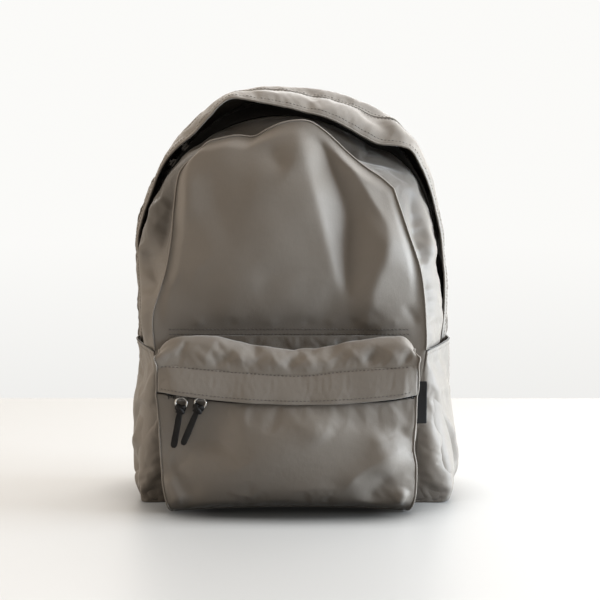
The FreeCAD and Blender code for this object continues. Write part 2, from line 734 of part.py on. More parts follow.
def strap_outline():
    """The strap seen from behind: it curves out from the neck to the lower corner."""
    half_top, half_low, bow_r = D.strap_wide / 2, D.strap_wide / 2 - 8, 520
    top = D.strap_hinge_z - STRAP_DROP
    return [
        (D.strap_low_x - half_low, D.strap_low_z), (D.strap_low_x + half_low, D.strap_low_z, bow_r),
        (D.strap_top_x + half_top, top), (D.strap_top_x - half_top, top, -bow_r),
    ]  # fmt: skip


def make_strap_layer(layer, inset, thick):
    """One layer of the padded strap: a bowed slab, trimmed to the strap's outline."""
    label = f"right_strap_{layer}"
    body = sub_part(label)
    top, bow_r = D.strap_hinge_z - STRAP_DROP, 480
    top_y, low_y = D.rear_y + 3 + inset, D.rear_y + 11 + inset
    side = [
        (low_y, D.strap_low_z - 2), (low_y + thick, D.strap_low_z - 2, bow_r + inset + thick),
        (top_y + thick, top + 2), (top_y, top + 2, -bow_r - inset),
    ]  # fmt: skip
    innermost, outermost = 2, 128
    pad(body, "YZ", innermost, outermost - innermost, side)
    around_it = rectangle(innermost - 5, D.strap_low_z - 20, outermost + 10, top + 20)
    pocket(body, "XZ", D.rear_y - 10, 80, around_it, strap_outline())
    mirror_of(body, f"left_strap_{layer}")


LOCK_WINDOWS = ((8.0, 12.5), (0.8, 5.3), (-6.4, -1.9))


def strap_end_placement():
    """The frame of the ladder lock: below the padded strap, turned towards the strap's tab."""
    lean, tuck, drop = 21.6, 6.0, 26.0
    turn = Rotation(Vector(0, 1, 0), -lean).multiply(Rotation(Vector(1, 0, 0), -tuck))
    base = (D.strap_low_x + 6, D.rear_y + 16, D.strap_low_z - drop)
    return base, turn


def make_ladder_lock():
    lock = sub_part("right_ladder_lock")
    half, low, high, thick, bar_end = 16.5, -9.0, 15.0, 3.5, 13.2
    pad(lock, "XZ", -thick / 2, thick, rectangle(-half, low, half, high))
    windows = [rectangle(-bar_end, foot, bar_end, top) for foot, top in LOCK_WINDOWS]
    pocket(lock, "XZ", -thick / 2 - 0.1, thick + 0.2, *windows)
    round_edges(lock, 1.2, runs_along(Vector(0, 1, 0)))
    place(lock, *strap_end_placement())
    mirror_of(lock, "left_ladder_lock")


def hairpin(turn_z, in_r, thick, left_end, right_end):
    """A webbing strip that runs up one side of a bar, turns over it and runs down the other."""
    out_r = in_r + thick
    return [
        (in_r, right_end), (out_r, right_end), (out_r, turn_z, out_r + 0.01), (-out_r, turn_z),
        (-out_r, left_end), (-in_r, left_end), (-in_r, turn_z, -in_r - 0.01), (in_r, turn_z),
    ]  # fmt: skip


def make_strap_webbing():
    """The lower webbing, over the lock's middle bar, with its loose tail; and the short loop above."""
    webbing = sub_part("right_strap_webbing")
    half = D.webbing_wide / 2
    run, tail = -72.0, -58.0
    pad(webbing, "YZ", -half, D.webbing_wide, hairpin(1.1, 2.3, D.webbing_thick, run, tail))
    place(webbing, *strap_end_placement())
    mirror_of(webbing, "left_strap_webbing")
    loop = sub_part("right_lock_loop")
    turn_z, in_r, legs = 11.9, 2.1, 22.0
    out_r = in_r + 1.4
    section = [
        (-out_r, turn_z, out_r + 0.01), (out_r, turn_z), (out_r, legs), (in_r, legs),
        (in_r, turn_z, -in_r - 0.01), (-in_r, turn_z), (-in_r, legs), (-out_r, legs),
    ]  # fmt: skip
    pad(loop, "YZ", -half, D.webbing_wide, section)
    place(loop, *strap_end_placement())
    mirror_of(loop, "left_lock_loop")


def make_strap_tab():
    """The sewn tab at the back's lower corner, which holds the webbing's end."""
    tab = sub_part("right_strap_tab")
    outline = [(113, 18), (137, 5), (139, 48), (115, 36)]
    pad(tab, "XZ", D.rear_y + D.seam_gap, 2.0, outline)
    mirror_of(tab, "left_strap_tab")


def make_yoke_and_handle():
    """The patch that the straps and the handle are sewn to, and the handle's webbing loop."""
    yoke_half, yoke_low, yoke_high = 78, 346, 372
    yoke = rectangle(-yoke_half, yoke_low, yoke_half, yoke_high)
    pad(sub_part("strap_yoke"), "XZ", D.rear_y + D.seam_gap, 1.5, yoke)
    handle = sub_part("grab_handle")
    half, thick, corner, wide, droop = D.handle_half, 2.4, 16.0, 18.0, 20.0
    reach = D.handle_reach
    loop = [
        (half - thick, 0), (half, 0), (half, reach - corner, corner), (half - corner, reach),
        (corner - half, reach, corner), (-half, reach - corner), (-half, 0), (thick - half, 0),
        (thick - half, reach - corner, thick - corner), (corner - half, reach - thick),
        (half - corner, reach - thick, thick - corner), (half - thick, reach - corner),
    ]  # fmt: skip
    pad(handle, "XY", -wide / 2, wide, loop)
    hinge_y = D.rear_y + 10
    place(handle, (0, hinge_y, D.handle_z), Rotation(Vector(1, 0, 0), -droop))


# ---------------------------------------------------------------- build, check and write


def check_document():
    """Stops if any object failed to recompute, or a sub-part's shape isn't a valid solid."""
    for item in DOC.Objects:
        if any(word in ("Invalid", "Error") for word in item.State):
            raise RuntimeError(f"{item.Label} failed: {item.State}")
    for item in SUB_PARTS:
        shape = item.Shape
        if shape.isNull() or not shape.isValid() or not shape.Solids:
            raise RuntimeError(f"{item.Label} has no valid solid")


def main():
    make_front_panel()
    make_gussets()
    make_side_panels()
    make_back()
    make_base()
    make_main_zip()
    make_hood()
    make_pocket_face()
    make_pocket_top()
    make_pocket_gussets()
    make_pocket_zip()
    make_pocket_flap()
    make_label()
    make_side_pockets()
    make_pocket_pulls()
    make_main_pulls()
    for layer in STRAP_LAYERS:
        make_strap_layer(*layer)
    make_ladder_lock()
    make_strap_webbing()
    make_strap_tab()
    make_yoke_and_handle()
    DOC.recompute()
    check_document()
    os.makedirs("parts", exist_ok=True)
    for item in SUB_PARTS:
        item.Shape.exportStep(f"parts/{item.Label}.step")
    print(f"wrote {len(SUB_PARTS)} sub-parts")


main()
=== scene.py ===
"""Daypack: the looks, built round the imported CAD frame.

Sizes in this file are millimetres unless a name says otherwise; meshes are written in metres.
Frame: +Z up, +Y towards the wearer's back, -Y towards the front pocket. "Right" is +X.
"""

import math

import bpy
import numpy as np
from mathutils import Matrix, Vector


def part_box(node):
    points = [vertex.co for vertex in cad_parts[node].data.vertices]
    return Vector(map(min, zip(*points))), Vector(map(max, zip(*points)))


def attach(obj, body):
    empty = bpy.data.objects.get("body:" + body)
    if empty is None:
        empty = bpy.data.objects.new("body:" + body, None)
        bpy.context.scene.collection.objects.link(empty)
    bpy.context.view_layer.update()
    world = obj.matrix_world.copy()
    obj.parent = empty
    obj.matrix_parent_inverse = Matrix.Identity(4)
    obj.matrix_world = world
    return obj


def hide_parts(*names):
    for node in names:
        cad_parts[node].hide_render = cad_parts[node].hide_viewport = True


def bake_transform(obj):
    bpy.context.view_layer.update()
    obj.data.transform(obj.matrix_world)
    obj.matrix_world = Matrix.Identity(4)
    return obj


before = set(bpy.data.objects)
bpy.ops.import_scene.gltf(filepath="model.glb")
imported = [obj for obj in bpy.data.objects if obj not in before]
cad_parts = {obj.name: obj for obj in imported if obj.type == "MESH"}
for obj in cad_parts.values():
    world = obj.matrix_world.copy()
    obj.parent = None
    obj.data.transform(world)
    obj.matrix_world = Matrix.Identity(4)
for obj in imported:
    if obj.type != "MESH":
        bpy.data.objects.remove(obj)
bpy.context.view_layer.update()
MM = 0.001
SCENE = bpy.context.scene
SEED = 7

# The two directions that a fold is drawn along, by the side it is seen from.
FROM_FRONT = [0, 2]
FROM_SIDE = [1, 2]
FROM_ABOVE = [0, 1]


# ---------------------------------------------------------------- curves and grids


def spline(points, count):
    """A smooth curve through the points, resampled to count points evenly spaced along it."""
    points = np.asarray(points, float)
    padded = np.vstack([2 * points[0] - points[1], points, 2 * points[-1] - points[-2]])
    t = np.linspace(0, 1, 24, endpoint=False)[:, None]
    fine = []
    for a, b, c, d in zip(padded, padded[1:], padded[2:], padded[3:]):
        square = 2 * a - 5 * b + 4 * c - d
        cube = 3 * b - a - 3 * c + d
        fine.append(0.5 * (2 * b + (c - a) * t + square * t**2 + cube * t**3))
    return resample(np.vstack([*fine, points[-1:]]), count)


def distances_along(points):
    """How far along a polyline each of its points lies."""
    steps = np.linalg.norm(np.diff(points, axis=0), axis=1)
    return np.concatenate([[0], np.cumsum(steps)])


def at_distance(where, along, values):
    """Rows of values, interpolated at distances along their polyline."""
    return np.stack([np.interp(where, along, column) for column in values.T], -1)


def resample(points, count):
    """The polyline resampled to count points evenly spaced along it."""
    along = distances_along(points)
    return at_distance(np.linspace(0, along[-1], count), along, points)


def line_at(x, y, z):
    """Points whose coordinates are each one number or one row of numbers."""
    return np.stack(np.broadcast_arrays(x, y, z), -1).astype(float)


def ease(value, low, high):
    """0 below low, 1 above high, and smooth between."""
    t = np.clip((np.asarray(value, float) - low) / (high - low), 0, 1)
    return t * t * (3 - 2 * t)


def arc(count):
    """A half wave: 0 at both ends of a row of count points, and 1 in its middle."""
    return np.sin(np.linspace(0, math.pi, count))


def table_at(where, pairs):
    """Smooth value at each place, through (place, value) pairs in rising order."""
    pairs = np.asarray(pairs, float)
    dense = spline(pairs, 40 * len(pairs))
    return np.interp(where, dense[:, 0], dense[:, 1])


def coons(low, high, left, right):
    """The smooth grid between four edges: low and high run left to right, left and right upwards."""
    u = np.linspace(0, 1, len(low))[None, :, None]
    v = np.linspace(0, 1, len(left))[:, None, None]
    between = (1 - v) * low[None] + v * high[None] + (1 - u) * left[:, None] + u * right[:, None]
    low_corners = (1 - u) * (1 - v) * low[0] + u * (1 - v) * low[-1]
    return between - (low_corners + (1 - u) * v * high[0] + u * v * high[-1])


def loft(rows, count):
    """A grid whose rows pass smoothly through the given rows."""
    rows = np.asarray(rows, float)
    return np.stack([spline(rows[:, place], count) for place in range(rows.shape[1])], 1)


def grid_normals(grid):
    """The unit normal at each point of a grid, across x up."""
    normal = np.cross(np.gradient(grid, axis=1), np.gradient(grid, axis=0))
    return normal / np.maximum(np.linalg.norm(normal, axis=2, keepdims=True), 1e-9)


def path_distance(points, path):
    """Distance from each point to a polyline, and the share of its length at the nearest place."""
    flat = points.reshape(-1, points.shape[-1])
    best = np.full(len(flat), 1e9)
    share = np.zeros(len(flat))
    starts = distances_along(path)
    for start, length, a, b in zip(starts, np.linalg.norm(np.diff(path, axis=0), axis=1), path, path[1:]):
        t = np.clip(((flat - a) @ (b - a)) / max(length**2, 1e-9), 0, 1)
        distance = np.linalg.norm(flat - (a + t[:, None] * (b - a)), axis=1)
        nearer = distance < best
        best[nearer] = distance[nearer]
        share[nearer] = (start + t[nearer] * length) / starts[-1]
    return best.reshape(points.shape[:-1]), share.reshape(points.shape[:-1])


def fold(grid, plane, points, wide, high, fade=0.35, power=1.6):
    """Raises (or, with high below 0, sinks) a soft fold along a path drawn on a plane.

    The fold fades out over the last share of its length at each end. A low power makes it crisp.
    """
    distance, share = path_distance(grid[..., plane], spline(points, 24))
    ends = ease(share, -0.02, fade) * ease(1 - share, -0.02, fade)
    shape = np.exp(-((np.hypot(distance, 0.6) / wide) ** power)) * ends * high
    return grid + shape[..., None] * grid_normals(grid)


def add_folds(grid, plane, folds):
    """Lays one fold after another; each is a path and then fold's own numbers."""
    for points, *numbers in folds:
        grid = fold(grid, plane, points, *numbers)
    return grid


def smooth_noise(grid, size, seed):
    """Gentle random relief, about 1 high, with bumps of roughly this size."""
    random = np.random.default_rng(SEED + seed)
    total = np.zeros(grid.shape[:2])
    for _ in range(14):
        direction = random.normal(size=3)
        direction *= 2 * math.pi / (size * random.uniform(0.7, 1.6)) / np.linalg.norm(direction)
        total += np.sin(grid @ direction + random.uniform(0, 2 * math.pi))
    return total / 3.2


def rumple(grid, size, seed, high, share=None):
    """Small bumps all over a sheet; without a share of their own, they fade at its top and bottom."""
    share = arc(len(grid))[:, None] if share is None else share
    relief = smooth_noise(grid, size, seed) * share * high
    return grid + grid_normals(grid) * relief[..., None]


def spread_out(values, passes, keep):
    """Smooths a grid of vectors; in each pass a point keeps this share of its own value."""
    for _ in range(passes):
        padded = np.pad(values, ((1, 1), (1, 1), (0, 0)), "edge")
        around = padded[:-2, 1:-1] + padded[2:, 1:-1] + padded[1:-1, :-2] + padded[1:-1, 2:]
        values = keep * values + (1 - keep) / 4 * around
    return values


def calm(before, after, passes):
    """Keeps the broad part of what draping did to a grid, and smooths its small ripples away."""
    return before + spread_out(after - before, passes, 0.4)


def steps_from_end(count):
    """How many steps each point of a row is from the row's nearer end."""
    return np.minimum(np.arange(count), np.arange(count)[::-1])


def keep_edges(before, after, reach):
    """Fades a grid's changes out towards its edges, so that it still meets its neighbours there."""
    up, across = (ease(steps_from_end(size), 0, reach) for size in before.shape[:2])
    share = np.minimum(up[:, None], across[None, :])
    return before + (after - before) * share[..., None]


def border(grid, wide=1, sides="lrbt"):
    """True at the points within wide of the chosen edges of a grid."""
    held = np.zeros(grid.shape[:2], bool)
    edges = {"b": held[:wide], "t": held[-wide:], "l": held[:, :wide], "r": held[:, -wide:]}
    for side in sides:
        edges[side][:] = True
    return held


# ---------------------------------------------------------------- meshes


def new_object(name, vertices_mm, faces):
    mesh = bpy.data.meshes.new(name)
    mesh.from_pydata((np.asarray(vertices_mm, float) * MM).tolist(), [], faces)
    mesh.validate()
    mesh.update()
    mesh.polygons.foreach_set("use_smooth", [True] * len(mesh.polygons))
    piece = bpy.data.objects.new(name, mesh)
    SCENE.collection.objects.link(piece)
    return piece


def grid_faces(rows, columns, closed=False, flip=False):
    """Quads of a grid; closed joins the last column to the first."""
    faces = []
    for row in range(rows - 1):
        low, high = row * columns, (row + 1) * columns
        for column in range(columns if closed else columns - 1):
            after = (column + 1) % columns
            quad = (low + column, low + after, high + after, high + column)
            faces.append(quad[::-1] if flip else quad)
    return faces


def end_faces(rows, columns):
    """The two caps of a closed grid."""
    last = (rows - 1) * columns
    return [tuple(range(columns))[::-1], tuple(range(last, last + columns))]


def lay_weave(piece, grid):
    """Gives the mesh a UV map in metres of cloth, so that a weave keeps its scale."""
    columns = grid.shape[1]
    across = np.linalg.norm(np.diff(grid, axis=1), axis=2).mean(0)
    up = np.linalg.norm(np.diff(grid, axis=0), axis=2).mean(1)
    u = np.concatenate([[0], np.cumsum(across)]) * MM
    v = np.concatenate([[0], np.cumsum(up)]) * MM
    layer = piece.data.uv_layers.new(name="weave")
    for loop in piece.data.loops:
        row, column = divmod(loop.vertex_index, columns)
        layer.data[loop.index].uv = (u[column], v[row])


def add_modifier(piece, kind, **settings):
    modifier = piece.modifiers.new(kind.lower(), kind)
    for key, value in settings.items():
        setattr(modifier, key, value)
    return modifier


def sheet(name, grid, material, thick=1.2, flip=False):
    """A cloth sheet over a grid: its own thickness inwards, and rounded by subdivision."""
    piece = new_object(name, grid.reshape(-1, 3), grid_faces(*grid.shape[:2], flip=flip))
    lay_weave(piece, grid)
    piece.data.materials.append(material)
    add_modifier(piece, "SOLIDIFY", thickness=thick * MM, offset=-1, use_rim=True)
    add_modifier(piece, "SUBSURF", levels=1, render_levels=1)
    return piece


def apply_modifiers(piece):
    """Replaces the piece's mesh with what its modifiers make of it."""
    bpy.context.view_layer.update()
    graph = bpy.context.evaluated_depsgraph_get()
    mesh = bpy.data.meshes.new_from_object(piece.evaluated_get(graph))
    piece.modifiers.clear()
    piece.data = mesh


DRAPE_STEPS = 16


def drape(grid, pinned, pressure, slack, hold=0.0):
    """Lets a grid of cloth, held at its pinned points, take up slack and pressure, and returns it.

    hold is how strongly the free points keep to their places, from 0 to 1.
    """
    cloth = new_object("drape", grid.reshape(-1, 3), grid_faces(*grid.shape[:2]))
    group = cloth.vertex_groups.new(name="held")
    flat = pinned.reshape(-1)
    group.add(np.flatnonzero(flat).tolist(), 1.0, "REPLACE")
    if hold:
        group.add(np.flatnonzero(~flat).tolist(), hold, "REPLACE")
    modifier = cloth.modifiers.new("cloth", "CLOTH")
    settings = modifier.settings
    settings.quality = 5
    settings.mass = 0.3
    settings.tension_stiffness = 15
    settings.compression_stiffness = 15
    settings.shear_stiffness = 5
    settings.bending_stiffness = 0.6
    settings.air_damping = 3
    settings.vertex_group_mass = "held"
    settings.pin_stiffness = 1
    settings.shrink_min = -slack
    settings.use_pressure = True
    settings.uniform_pressure_force = pressure
    settings.effector_weights.gravity = 0
    modifier.collision_settings.use_collision = False
    modifier.point_cache.frame_start = 1
    modifier.point_cache.frame_end = DRAPE_STEPS
    for step in range(1, DRAPE_STEPS + 1):
        SCENE.frame_set(step)
    settled = cloth.evaluated_get(bpy.context.evaluated_depsgraph_get()).data
    found = np.zeros(len(settled.vertices) * 3)
    settled.vertices.foreach_get("co", found)
    mesh = cloth.data
    bpy.data.objects.remove(cloth)
    bpy.data.meshes.remove(mesh)
    SCENE.frame_set(1)
    return found.reshape(grid.shape) / MM


def tube(name, points, radius, material, sides=8, closed=False):
    """A cord along a path."""
    points = np.asarray(points, float)
    if closed:
        tangents = np.roll(points, -1, 0) - np.roll(points, 1, 0)
    else:
        tangents = np.gradient(points, axis=0)
    tangents /= np.linalg.norm(tangents, axis=1, keepdims=True)
    side = np.cross(tangents[0], [0.3, 0.5, 0.81])
    angles = np.linspace(0, 2 * math.pi, sides, endpoint=False)[:, None]
    rings = []
    for tangent, point in zip(tangents, points):
        side = side - tangent * (side @ tangent)
        side /= np.linalg.norm(side)
        other = np.cross(tangent, side)
        rings.append(point + radius * (np.cos(angles) * side + np.sin(angles) * other))
    faces = grid_faces(len(rings), sides, closed=True)
    if closed:
        last = (len(rings) - 1) * sides
        faces += [(last + i, last + (i + 1) % sides, (i + 1) % sides, i) for i in range(sides)]
    else:
        faces += end_faces(len(rings), sides)
    piece = new_object(name, np.vstack(rings), faces)
    piece.data.materials.append(material)
    return piece


def ribbon(name, points, across, wide, thick, material, levels=2):
    """A webbing strip along a path: across is the direction of its width at each point."""
    points, across = np.broadcast_arrays(np.asarray(points, float), np.asarray(across, float))
    along = np.gradient(points, axis=0)
    along /= np.linalg.norm(along, axis=1, keepdims=True)
    across = across - along * (across * along).sum(1, keepdims=True)
    across /= np.linalg.norm(across, axis=1, keepdims=True)
    up = np.cross(along, across)
    half, rise = wide / 2, thick / 2
    edge, low = half * 0.93, rise * 0.7
    face = [(-half, -low), (-edge, -rise), (0, -rise), (edge, -rise), (half, -low)]
    section = face + [(-a, -b) for a, b in face]
    grid = np.stack([points + a * across + b * up for a, b in section], 1)
    rows, columns = grid.shape[:2]
    faces = grid_faces(rows, columns, closed=True) + end_faces(rows, columns)
    piece = new_object(name, grid.reshape(-1, 3), faces)
    lay_weave(piece, grid)
    piece.data.materials.append(material)
    add_modifier(piece, "SUBSURF", levels=levels, render_levels=levels)
    return piece


def join(name, pieces):
    """One mesh piece out of several, with their modifiers applied."""
    for piece in pieces:
        if piece.modifiers:
            apply_modifiers(piece)
    bpy.ops.object.select_all(action="DESELECT")
    for piece in pieces:
        piece.select_set(True)
    bpy.context.view_layer.objects.active = pieces[0]
    bpy.ops.object.join()
    pieces[0].name = name
    pieces[0].data.name = name
    return pieces[0]


def stitches(name, points, normals, material, long=2.5, gap=1.3, radius=0.3, lift=0.15):
    """A row of thread stitches along a line on a surface."""
    points = np.asarray(points, float)
    normals = np.broadcast_to(np.asarray(normals, float), points.shape)
    along = distances_along(points)
    sides, rings = 5, 5
    sizes = np.array([0.35, 0.9, 1.0, 0.9, 0.35]) * radius
    vertices, faces = [], []
    for number in range(max(int(along[-1] / (long + gap)), 1)):
        start = number * (long + gap) + gap / 2
        places = start + np.array([0, 0.2, 0.5, 0.8, 1.0]) * long
        centre = at_distance(places, along, points)
        up = at_distance(places, along, normals)
        direction = centre[-1] - centre[0]
        direction /= max(np.linalg.norm(direction), 1e-9)
        side = np.cross(direction, up[2])
        side /= max(np.linalg.norm(side), 1e-9)
        base = len(vertices)
        for spot, size, rise in zip(centre, sizes, up):
            for corner in range(sides):
                angle = 2 * math.pi * corner / sides
                across = side * math.cos(angle) * size
                vertices.append(spot + rise * (lift + math.sin(angle) * size) + across)
        whole = grid_faces(rings, sides, closed=True) + end_faces(rings, sides)
        faces += [tuple(base + corner for corner in face) for face in whole]
    piece = new_object(name, vertices, faces)
    piece.data.materials.append(material)
    return piece


def row_line(grid, row, first=0.0, last=1.0):
    """Points and normals along a row of a grid; the row may fall between two of the grid's."""
    low = int(math.floor(row))
    high = min(low + 1, len(grid) - 1)
    t = row - low
    count = grid.shape[1]
    chosen = slice(int(first * (count - 1)), int(last * (count - 1)) + 1)
    points, ups = ((lines[low] * (1 - t) + lines[high] * t)[chosen] for lines in (grid, grid_normals(grid)))
    return points, ups


def level_line(grid, height, first_x, last_x):
    """Points and normals along an upright grid at one height, from one x to another."""
    columns = np.concatenate([grid, grid_normals(grid)], 2).transpose(1, 0, 2)
    line = np.array([at_distance(height, column[:, 2], column) for column in columns])
    line = line[(line[:, 0] >= first_x) & (line[:, 0] <= last_x)]
    return line[:, :3], line[:, 3:]


# ---------------------------------------------------------------- materials


class Nodes:
    """A small helper for writing the node tree of a material or a world line by line."""

    def __init__(self, owner):
        self.owner = owner
        owner.use_nodes = True
        self.tree = owner.node_tree
        places = self.tree.nodes.new("ShaderNodeTexCoord").outputs
        self.solid, self.cloth, self.sky = places["Object"], places["UV"], places["Generated"]

    def put(self, value, socket):
        if isinstance(value, bpy.types.NodeSocket):
            self.tree.links.new(value, socket)
        else:
            socket.default_value = value

    def add(self, kind, inputs=None, **settings):
        node = self.tree.nodes.new("ShaderNode" + kind)
        for key, value in settings.items():
            setattr(node, key, value)
        for key, value in (inputs or {}).items():
            self.put(value, node.inputs[key])
        return node

    def math(self, operation, a, b=0.0):
        return self.add("Math", {0: a, 1: b}, operation=operation).outputs[0]

    def times(self, a, b):
        return self.math("MULTIPLY", a, b)

    def plus(self, a, b):
        return self.math("ADD", a, b)

    def dot(self, a, b):
        return self.add("VectorMath", {0: a, 1: b}, operation="DOT_PRODUCT").outputs["Value"]

    def split(self, vector):
        return self.add("SeparateXYZ", {0: vector}).outputs

    def stretched(self, source, scale):
        return self.add("Mapping", {"Vector": source, "Scale": scale}).outputs[0]

    def mix(self, share, a, b):
        return self.add("Mix", {0: share, 6: a, 7: b}, data_type="RGBA").outputs[2]

    def noise(self, source, per_metre, detail=3.0, rough=0.55):
        inputs = {"Vector": source, "Scale": per_metre, "Detail": detail, "Roughness": rough}
        return self.add("TexNoise", inputs).outputs["Fac"]

    def cells(self, source, per_metre, random=1.0):
        inputs = {"Vector": source, "Scale": per_metre, "Randomness": random}
        return self.add("TexVoronoi", inputs).outputs["Distance"]

    def ramp(self, value, low, high, bottom=0.0, top=1.0, kind="SMOOTHSTEP"):
        inputs = {"Value": value, "From Min": low, "From Max": high, "To Min": bottom, "To Max": top}
        return self.add("MapRange", inputs, interpolation_type=kind).outputs["Result"]

    def worn_edges(self, high):
        return self.ramp(self.add("NewGeometry").outputs["Pointiness"], 0.52, high)

    def open_share(self, reach, samples):
        """How open a place is to its surroundings, within reach in metres."""
        return self.add("AmbientOcclusion", {"Distance": reach}, samples=samples).outputs["AO"]

    def bump(self, height, distance_mm, strength=1.0, under=None):
        inputs = {"Height": height, "Distance": distance_mm * MM, "Strength": strength}
        if under is not None:
            inputs["Normal"] = under
        return self.add("Bump", inputs).outputs["Normal"]

    def finish(self, **inputs):
        shader = self.tree.nodes["Principled BSDF"]
        for key, value in inputs.items():
            self.put(value, shader.inputs[key.replace("_", " ")])
        return self.owner


def new_nodes(name):
    return Nodes(bpy.data.materials.new(name))


def colour(red, green, blue, share=1.0):
    return (red * share, green * share, blue * share, 1.0)


def weave_height(nodes, source, yarn_mm):
    """A plain weave: over-and-under yarns of the given width, from two crossed sets of ridges."""
    per_metre = math.pi / (yarn_mm * MM)
    places = nodes.split(source)
    warp, weft = (nodes.math("SINE", nodes.times(places[axis], per_metre)) for axis in (0, 1))
    return nodes.plus(nodes.times(nodes.times(warp, weft), 0.5), 0.5)


def cloth_material(
    name, base, yarn_mm=0.5, crumple=0.5, sheen=0.3, uv=True, painted_hollow_shade=None, painted_hood_shade=False
):
    """Woven nylon or cotton: yarns, slubs, small creases, a dusty sheen and rubbed edges.

    Its hollow-shade argument paints shade into the cloth where it's shut in: (reach in metres, the
    open shares of its darkest and lightest places, how dark it gets). Its hood-shade argument
    paints the hood's shadow on it towards the top, and paints shade lower down on the left.
    """
    nodes = new_nodes(name)
    source = nodes.cloth if uv else nodes.solid
    weave = weave_height(nodes, source, yarn_mm)
    slubs = nodes.noise(nodes.stretched(source, (1, 0.12, 1)), 900, 2)
    creases = nodes.noise(nodes.solid, 55, 4, 0.6)
    broad = nodes.noise(nodes.solid, 11, 3)
    mottle = 0.04
    tone = nodes.mix(nodes.ramp(broad, 0.35, 0.65), colour(*base, 1 - mottle), colour(*base, 1 + mottle))
    tone = nodes.mix(nodes.times(slubs, 0.16), tone, colour(*base, 0.62))
    tone = nodes.mix(nodes.times(nodes.worn_edges(0.62), 0.25), tone, colour(*base, 1.6))
    # Painted shade: darker in hollows and creases, where little of the surroundings is open to the place.
    if painted_hollow_shade:
        reach, low, high, darkest = painted_hollow_shade
        unshaded_share = nodes.ramp(nodes.open_share(reach, 5), low, high)
        tone = nodes.mix(unshaded_share, colour(*base, darkest), tone)
    # Painted shade: the hood's shadow towards the top of the gusset, and shade lower down on the left.
    if painted_hood_shade:
        height = nodes.dot(nodes.solid, (-0.12, 0, 1))
        tone = nodes.mix(nodes.ramp(height, 0.230, 0.302, 0.0, 0.72), tone, colour(*base, 0.22))
    fine = nodes.bump(weave, 0.06, 0.7)
    fine = nodes.bump(slubs, 0.10, 0.5, fine)
    normal = nodes.bump(creases, 1.2 * crumple, 0.6, fine)
    roughness = nodes.plus(nodes.times(slubs, 0.18), 0.47)
    return nodes.finish(
        Base_Color=tone, Normal=normal, Roughness=roughness, Sheen_Weight=sheen, Sheen_Roughness=0.4,
        Sheen_Tint=(1, 0.98, 0.95, 1), Specular_IOR_Level=0.35,
    )  # fmt: skip


def mesh_material(name, base):
    """Padded spacer mesh: small round holes in staggered rows."""
    nodes = new_nodes(name)
    hole = nodes.ramp(nodes.cells(nodes.cloth, 430.0, 0.15), 0.42, 0.2)
    soft = nodes.noise(nodes.solid, 40, 3)
    tone = nodes.mix(hole, colour(*base), colour(*base, 0.25))
    tone = nodes.mix(nodes.times(soft, 0.3), tone, colour(*base, 1.5))
    normal = nodes.bump(nodes.math("SUBTRACT", 1.0, hole), 0.5, 0.8, nodes.bump(soft, 0.8, 0.4))
    return nodes.finish(Base_Color=tone, Normal=normal, Roughness=0.85, Sheen_Weight=0.3)


def webbing_material(name, base):
    """Ribbed webbing: diagonal ribs across its width, and a fuzzy surface."""
    nodes = new_nodes(name)
    turned = nodes.add("Mapping", {"Vector": nodes.cloth, "Rotation": (0, 0, 0.6)}).outputs[0]
    ribs = nodes.add("TexWave", {"Vector": turned, "Scale": 190.0, "Distortion": 0.6}).outputs["Fac"]
    fuzz = nodes.noise(nodes.solid, 1500, 2)
    tone = nodes.mix(ribs, colour(*base, 0.55), colour(*base, 1.25))
    tone = nodes.mix(nodes.times(fuzz, 0.3), tone, colour(*base, 1.7))
    normal = nodes.bump(ribs, 0.25, 0.8, nodes.bump(fuzz, 0.1, 0.5))
    return nodes.finish(Base_Color=tone, Normal=normal, Roughness=0.7, Sheen_Weight=0.25)


def metal_material(name, base, rough):
    """Plated metal with fine scratches and duller, darker patches."""
    nodes = new_nodes(name)
    scratches = nodes.noise(nodes.stretched(nodes.solid, (1, 1, 9)), 900, 4)
    patches = nodes.noise(nodes.solid, 260, 3)
    tone = nodes.mix(nodes.ramp(patches, 0.4, 0.7), colour(*base), colour(*base, 0.6))
    roughness = nodes.plus(nodes.times(scratches, 0.25), rough - 0.1)
    normal = nodes.bump(scratches, 0.03, 0.5)
    return nodes.finish(Base_Color=tone, Metallic=1.0, Roughness=roughness, Normal=normal)


def leather_material(name, base):
    """Dark leather: pebbled grain, soft shine, and paler rubbed edges."""
    nodes = new_nodes(name)
    grain = nodes.cells(nodes.solid, 1500.0)
    patches = nodes.noise(nodes.solid, 180, 4)
    tone = nodes.mix(nodes.ramp(patches, 0.35, 0.7), colour(*base, 0.7), colour(*base, 1.5))
    tone = nodes.mix(nodes.times(nodes.worn_edges(0.6), 0.2), tone, colour(*base, 2.6))
    normal = nodes.bump(grain, 0.12, 0.6, nodes.bump(patches, 0.3, 0.4))
    roughness = nodes.plus(nodes.times(patches, 0.3), 0.42)
    return nodes.finish(Base_Color=tone, Normal=normal, Roughness=roughness, Specular_IOR_Level=0.3)


def plastic_material(name, base):
    """Moulded plastic with a faint spark-eroded texture."""
    nodes = new_nodes(name)
    patches = nodes.noise(nodes.solid, 90, 3)
    tone = nodes.mix(patches, colour(*base, 0.8), colour(*base, 1.3))
    normal = nodes.bump(nodes.noise(nodes.solid, 2200, 2), 0.05, 0.6)
    roughness = nodes.plus(nodes.times(patches, 0.2), 0.38)
    return nodes.finish(Base_Color=tone, Normal=normal, Roughness=roughness)


def foam_material(name, base):
    """Foam: small open cells and broad darker patches."""
    nodes = new_nodes(name)
    cells = nodes.cells(nodes.solid, 900.0)
    tone = nodes.mix(cells, colour(*base, 0.6), colour(*base, 1.2))
    tone = nodes.mix(nodes.times(nodes.noise(nodes.solid, 30, 3), 0.4), tone, colour(*base, 0.7))
    return nodes.finish(Base_Color=tone, Normal=nodes.bump(cells, 0.3), Roughness=0.9)


def thread_material(name, base):
    return cloth_material(name, base, yarn_mm=0.2, crumple=0.1, uv=False)


